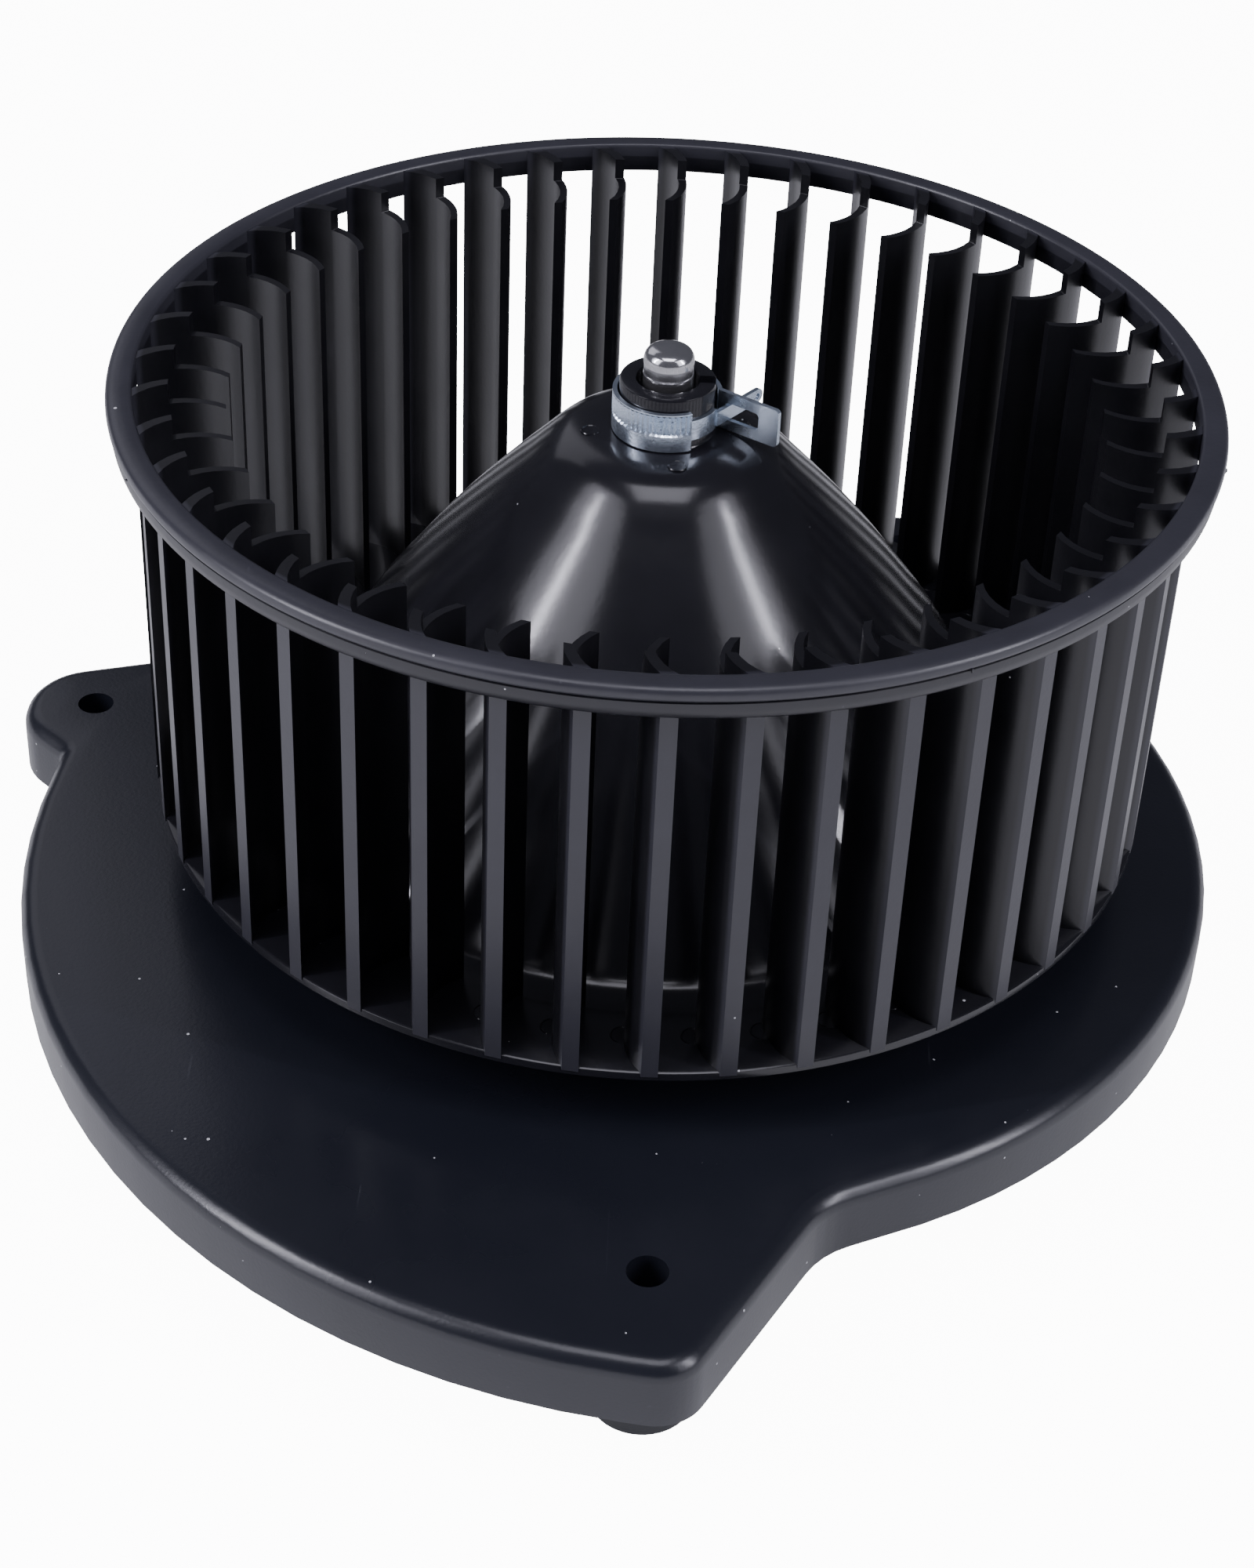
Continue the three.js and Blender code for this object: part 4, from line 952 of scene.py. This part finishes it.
marks = ring_of(pin_mark(1.9, 74.6, 360 / BLADES * 0.5 + 3.2, PLATE_TOP + 0.06), BLADES, FIRST_BLADE)
for angle in (-170, -80, 10, 100):
    added(marks, pin_mark(1.5, 12.0, angle, CROWN - 0.02))
finished(marks, "ejector_marks", "rotor", dome_black)
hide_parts("blower_wheel")

# %% [markdown]
# ## Shaft
#
# The motor's shaft is ground steel with a flat that keys the wheel, a rounded end, and a narrow knurled
# band. The knurl is real geometry, a ring with more points than it needs whose every other point is
# pulled in, because its glints are sharper than any bump can make them.

# %% Shaft
KNURL_FOOT = SHAFT_TOP - 4.4
KNURL_TOP = SHAFT_TOP - 2.8
KNURL_SHARE = 0.93
shaft_line = smooth_line([
    (SHAFT_RADIUS, SHAFT_TOP - 2.0), (SHAFT_RADIUS - 0.12, SHAFT_TOP - 1.35),
    (SHAFT_RADIUS - 0.55, SHAFT_TOP - 0.65),
    (SHAFT_RADIUS - 1.35, SHAFT_TOP - 0.2), (SHAFT_RADIUS - 2.2, SHAFT_TOP - 0.02),
], 3)
shaft_profile = [
    (0, SHAFT_FOOT), (SHAFT_RADIUS - 0.4, SHAFT_FOOT), (SHAFT_RADIUS, SHAFT_FOOT + 0.4),
    (SHAFT_RADIUS, KNURL_FOOT - 0.1),
    (SHAFT_RADIUS - 0.1, KNURL_FOOT), (SHAFT_RADIUS - 0.1, KNURL_TOP), (SHAFT_RADIUS, KNURL_TOP + 0.1),
    *shaft_line, (0, SHAFT_TOP),
]
shaft_shape = turned(shaft_profile, 132, closed=False)
bmesh.ops.remove_doubles(shaft_shape, verts=shaft_shape.verts, dist=0.004 * MM)
for vert in shaft_shape.verts:
    in_band = (KNURL_FOOT - 0.02) * MM < vert.co.z < (KNURL_TOP + 0.02) * MM
    step = round(math.degrees(math.atan2(vert.co.y, vert.co.x)) / (360 / 132))
    if in_band and step % 2:
        vert.co.x *= KNURL_SHARE
        vert.co.y *= KNURL_SHARE
shaft = finished(shaft_shape, "shaft", "rotor", ground_steel, smooth=28)
FLAT_OUT = 3.2  # how far from the axis the flat lies
FLAT_LENGTH = 14
flat_cut = block((10, 2, 16), (0, FLAT_OUT + 1, SHAFT_TOP - FLAT_LENGTH + 8))
cut_away(shaft, [flat_cut], smooth=28)
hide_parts("motor_shaft")

# %% [markdown]
# ## Spring clamp
#
# A band of plated spring steel squeezes the collar onto the shaft. It is stamped flat and rolled: a tall
# band, pressed into fine ribs along its upper half, steps down to a narrow tongue that passes through the
# window of a wide tab. Squeezing the tab and the tongue together opens it. The strip is drawn as a line
# seen from above, pulled up in rows, and given its thickness by a solidify.

# %% Tall band with its pressed ribs
BAND_RADIUS = 7.9
BAND_THICK = 0.75
BAND_MIDDLE = (CLAMP_FOOT + CLAMP_TOP) / 2
RIB_LOW = BAND_MIDDLE - 0.3


def wall_from(line, levels, thick):
    """Pull a line of edges up through levels, in millimetres, and thicken it."""
    row = line.edges[:]
    for low, high in zip(levels, levels[1:]):
        made = bmesh.ops.extrude_edge_only(line, edges=row)["geom"]
        row = [g for g in made if isinstance(g, bmesh.types.BMEdge)]
        moved = [g for g in made if isinstance(g, bmesh.types.BMVert)]
        bmesh.ops.translate(line, vec=(0, 0, (high - low) * MM), verts=moved)
    bmesh.ops.recalc_face_normals(line, faces=line.faces)
    bmesh.ops.solidify(line, geom=line.faces[:], thickness=thick * MM)
    return line


def ring_line(start, end, step, radius, level):
    line = bmesh.new()
    first = line.verts.new(at(radius, start, level))
    steps = round((end - start) / step)
    bmesh.ops.spin(
        line, geom=[first], cent=(0, 0, 0), axis=(0, 0, 1), angle=math.radians(end - start), steps=steps
    )
    return line


RIB_STEP = 292 / 98
RIB_DEPTH = 0.5
band = wall_from(ring_line(6, 298, RIB_STEP, BAND_RADIUS + BAND_THICK / 2, CLAMP_FOOT),
                 [CLAMP_FOOT, CLAMP_FOOT + 0.2, RIB_LOW - 0.3, RIB_LOW,
                  CLAMP_TOP - 0.45, CLAMP_TOP - 0.2, CLAMP_TOP],
                 BAND_THICK)
bmesh.ops.remove_doubles(band, verts=band.verts, dist=0.004 * MM)
middle_radius = (min(v.co.xy.length for v in band.verts) + max(v.co.xy.length for v in band.verts)) / 2
shift = (BAND_RADIUS + BAND_THICK / 2) * MM - middle_radius
for vert in band.verts:
    outward = vert.co.xy.normalized()
    vert.co.x += outward.x * shift
    vert.co.y += outward.y * shift
    angle = math.degrees(math.atan2(vert.co.y, vert.co.x)) % 360
    pressed = RIB_LOW - 0.1 < vert.co.z / MM < CLAMP_TOP - 0.3 and 100 < angle < 297
    outer_side = vert.co.xy.length > (BAND_RADIUS + BAND_THICK / 2) * MM
    between_ribs = round((angle - 6) / RIB_STEP) % 2
    if pressed and outer_side and between_ribs:
        vert.co.x -= outward.x * RIB_DEPTH * MM
        vert.co.y -= outward.y * RIB_DEPTH * MM
print("band radius", round(max(v.co.xy.length for v in band.verts) / MM, 2))

# %% Narrow band and tongue
narrow_foot = BAND_MIDDLE - 1.7
tongue = wall_from(
    ring_line(-64, -20, 4, BAND_RADIUS + BAND_THICK / 2, narrow_foot), [narrow_foot, BAND_MIDDLE + 1.7],
    BAND_THICK
)


def stamped_strip(length, height, corner):
    """A flat strip standing on its edge along +X, with rounded far corners."""
    strip = bmesh.new()
    corners = [(0, -height / 2), (length, -height / 2), (length, height / 2), (0, height / 2)]
    verts = [strip.verts.new((x * MM, 0, z * MM)) for x, z in corners]
    strip.faces.new(verts)
    bmesh.ops.bevel(
        strip, geom=verts[1:3], offset=corner * MM, segments=5, profile=0.5, affect="VERTICES", material=-1
    )
    bmesh.ops.translate(strip, vec=(0, BAND_THICK / 2 * MM, 0), verts=strip.verts)
    pulled = bmesh.ops.extrude_face_region(strip, geom=strip.faces[:])["geom"]
    bmesh.ops.translate(
        strip, vec=(0, -BAND_THICK * MM, 0), verts=[g for g in pulled if isinstance(g, bmesh.types.BMVert)]
    )
    bmesh.ops.recalc_face_normals(strip, faces=strip.faces)
    return strip


def stood(strip, root, heading, level):
    """Stand a strip at a root point [radius, angle], heading away at an angle."""
    bmesh.ops.rotate(
        strip, cent=(0, 0, 0), matrix=Matrix.Rotation(math.radians(heading), 3, "Z"), verts=strip.verts
    )
    bmesh.ops.translate(strip, vec=at(*root, level), verts=strip.verts)
    return strip


clamp_shape = added(band, tongue)
finger = stood(stamped_strip(11.5, 2.4, 1.15), (BAND_RADIUS + BAND_THICK / 2, -21), 52, BAND_MIDDLE)
added(clamp_shape, finger)
clamp = finished(clamp_shape, "clamp_band", "rotor", zinc_plate, smooth=32)
finger_hole = peg(0.5, -2, 2)
bmesh.ops.rotate(
    finger_hole, cent=(0, 0, 0), matrix=Matrix.Rotation(math.radians(90), 3, "X"), verts=finger_hole.verts
)
bmesh.ops.translate(finger_hole, vec=(10.2 * MM, 0, 0), verts=finger_hole.verts)
cut_away(clamp, [stood(finger_hole, (BAND_RADIUS + BAND_THICK / 2, -21), 52, BAND_MIDDLE)], smooth=32)

# %% Wide tab with its window
TAB_ROOT = (BAND_RADIUS + BAND_THICK / 2, 6)
TAB_HEADING = -33
tab_shape = stood(stamped_strip(11.2, CLAMP_TOP - CLAMP_FOOT, 0.7), TAB_ROOT, TAB_HEADING, BAND_MIDDLE)
tab = finished(tab_shape, "clamp_tab", "rotor", zinc_plate, smooth=32)
window = block((6.4, 4, 3.0), (1.2 + 3.2, 0, 0))
bmesh.ops.bevel(
    window, geom=[e for e in window.edges if abs(e.verts[0].co.y - e.verts[1].co.y) > 3 * MM],
    offset=0.7 * MM,
    offset_type="OFFSET", segments=4, profile=0.5, affect="EDGES", material=-1,
)
cut_away(tab, [stood(window, TAB_ROOT, TAB_HEADING, BAND_MIDDLE)], smooth=32)
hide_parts("spring_clamp")

# %% [markdown]
# ## Brush springs
#
# A small coil spring behind each carbon brush keeps it on the commutator, and shortens as the brush moves
# back. A rigid coil would let the brush run into it. Each spring is drawn here as a little circle of
# wire spun about the spring's own axis with a step along it at every turn, at the length of its CAD
# node; it does not shorten with the slide.

# %% Coil springs behind the brushes
SPRING_WIRE = 0.35
SPRING_RADIUS = 2.4
SPRING_TURNS = 4.5
STEPS_A_TURN = 20

for number, joint, side in ((1, "brush_1_slide", 1), (2, "brush_2_slide", -1)):
    node = "brush_spring_%d" % number
    low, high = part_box(node)
    near, far = sorted((low.y, high.y), key=abs)
    middle = (low.z + high.z) / 2
    length = abs(far - near) / MM
    steps = round(SPRING_TURNS * STEPS_A_TURN)
    coil = bmesh.new()
    bmesh.ops.create_circle(coil, radius=SPRING_WIRE * MM, segments=10)
    bmesh.ops.translate(
        coil, vec=(SPRING_RADIUS * MM, near + side * SPRING_WIRE * MM, middle), verts=coil.verts
    )
    bmesh.ops.spin(
        coil, geom=coil.edges[:], cent=(0, 0, middle), axis=(0, 1, 0),
        angle=math.radians(360 * SPRING_TURNS), steps=steps,
        dvec=(0, side * (length - 2 * SPRING_WIRE) / steps * MM, 0),
    )
    bmesh.ops.holes_fill(coil, edges=coil.edges[:], sides=0)
    bmesh.ops.recalc_face_normals(coil, faces=coil.faces)
    spring = finished(coil, "coil_spring_%d" % number, "base", ground_steel, smooth=40)
    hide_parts(node)
    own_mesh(spring)
    print(spring.name, "length", round(length, 2), "box", [round(v / MM, 2) for v in spring.dimensions])
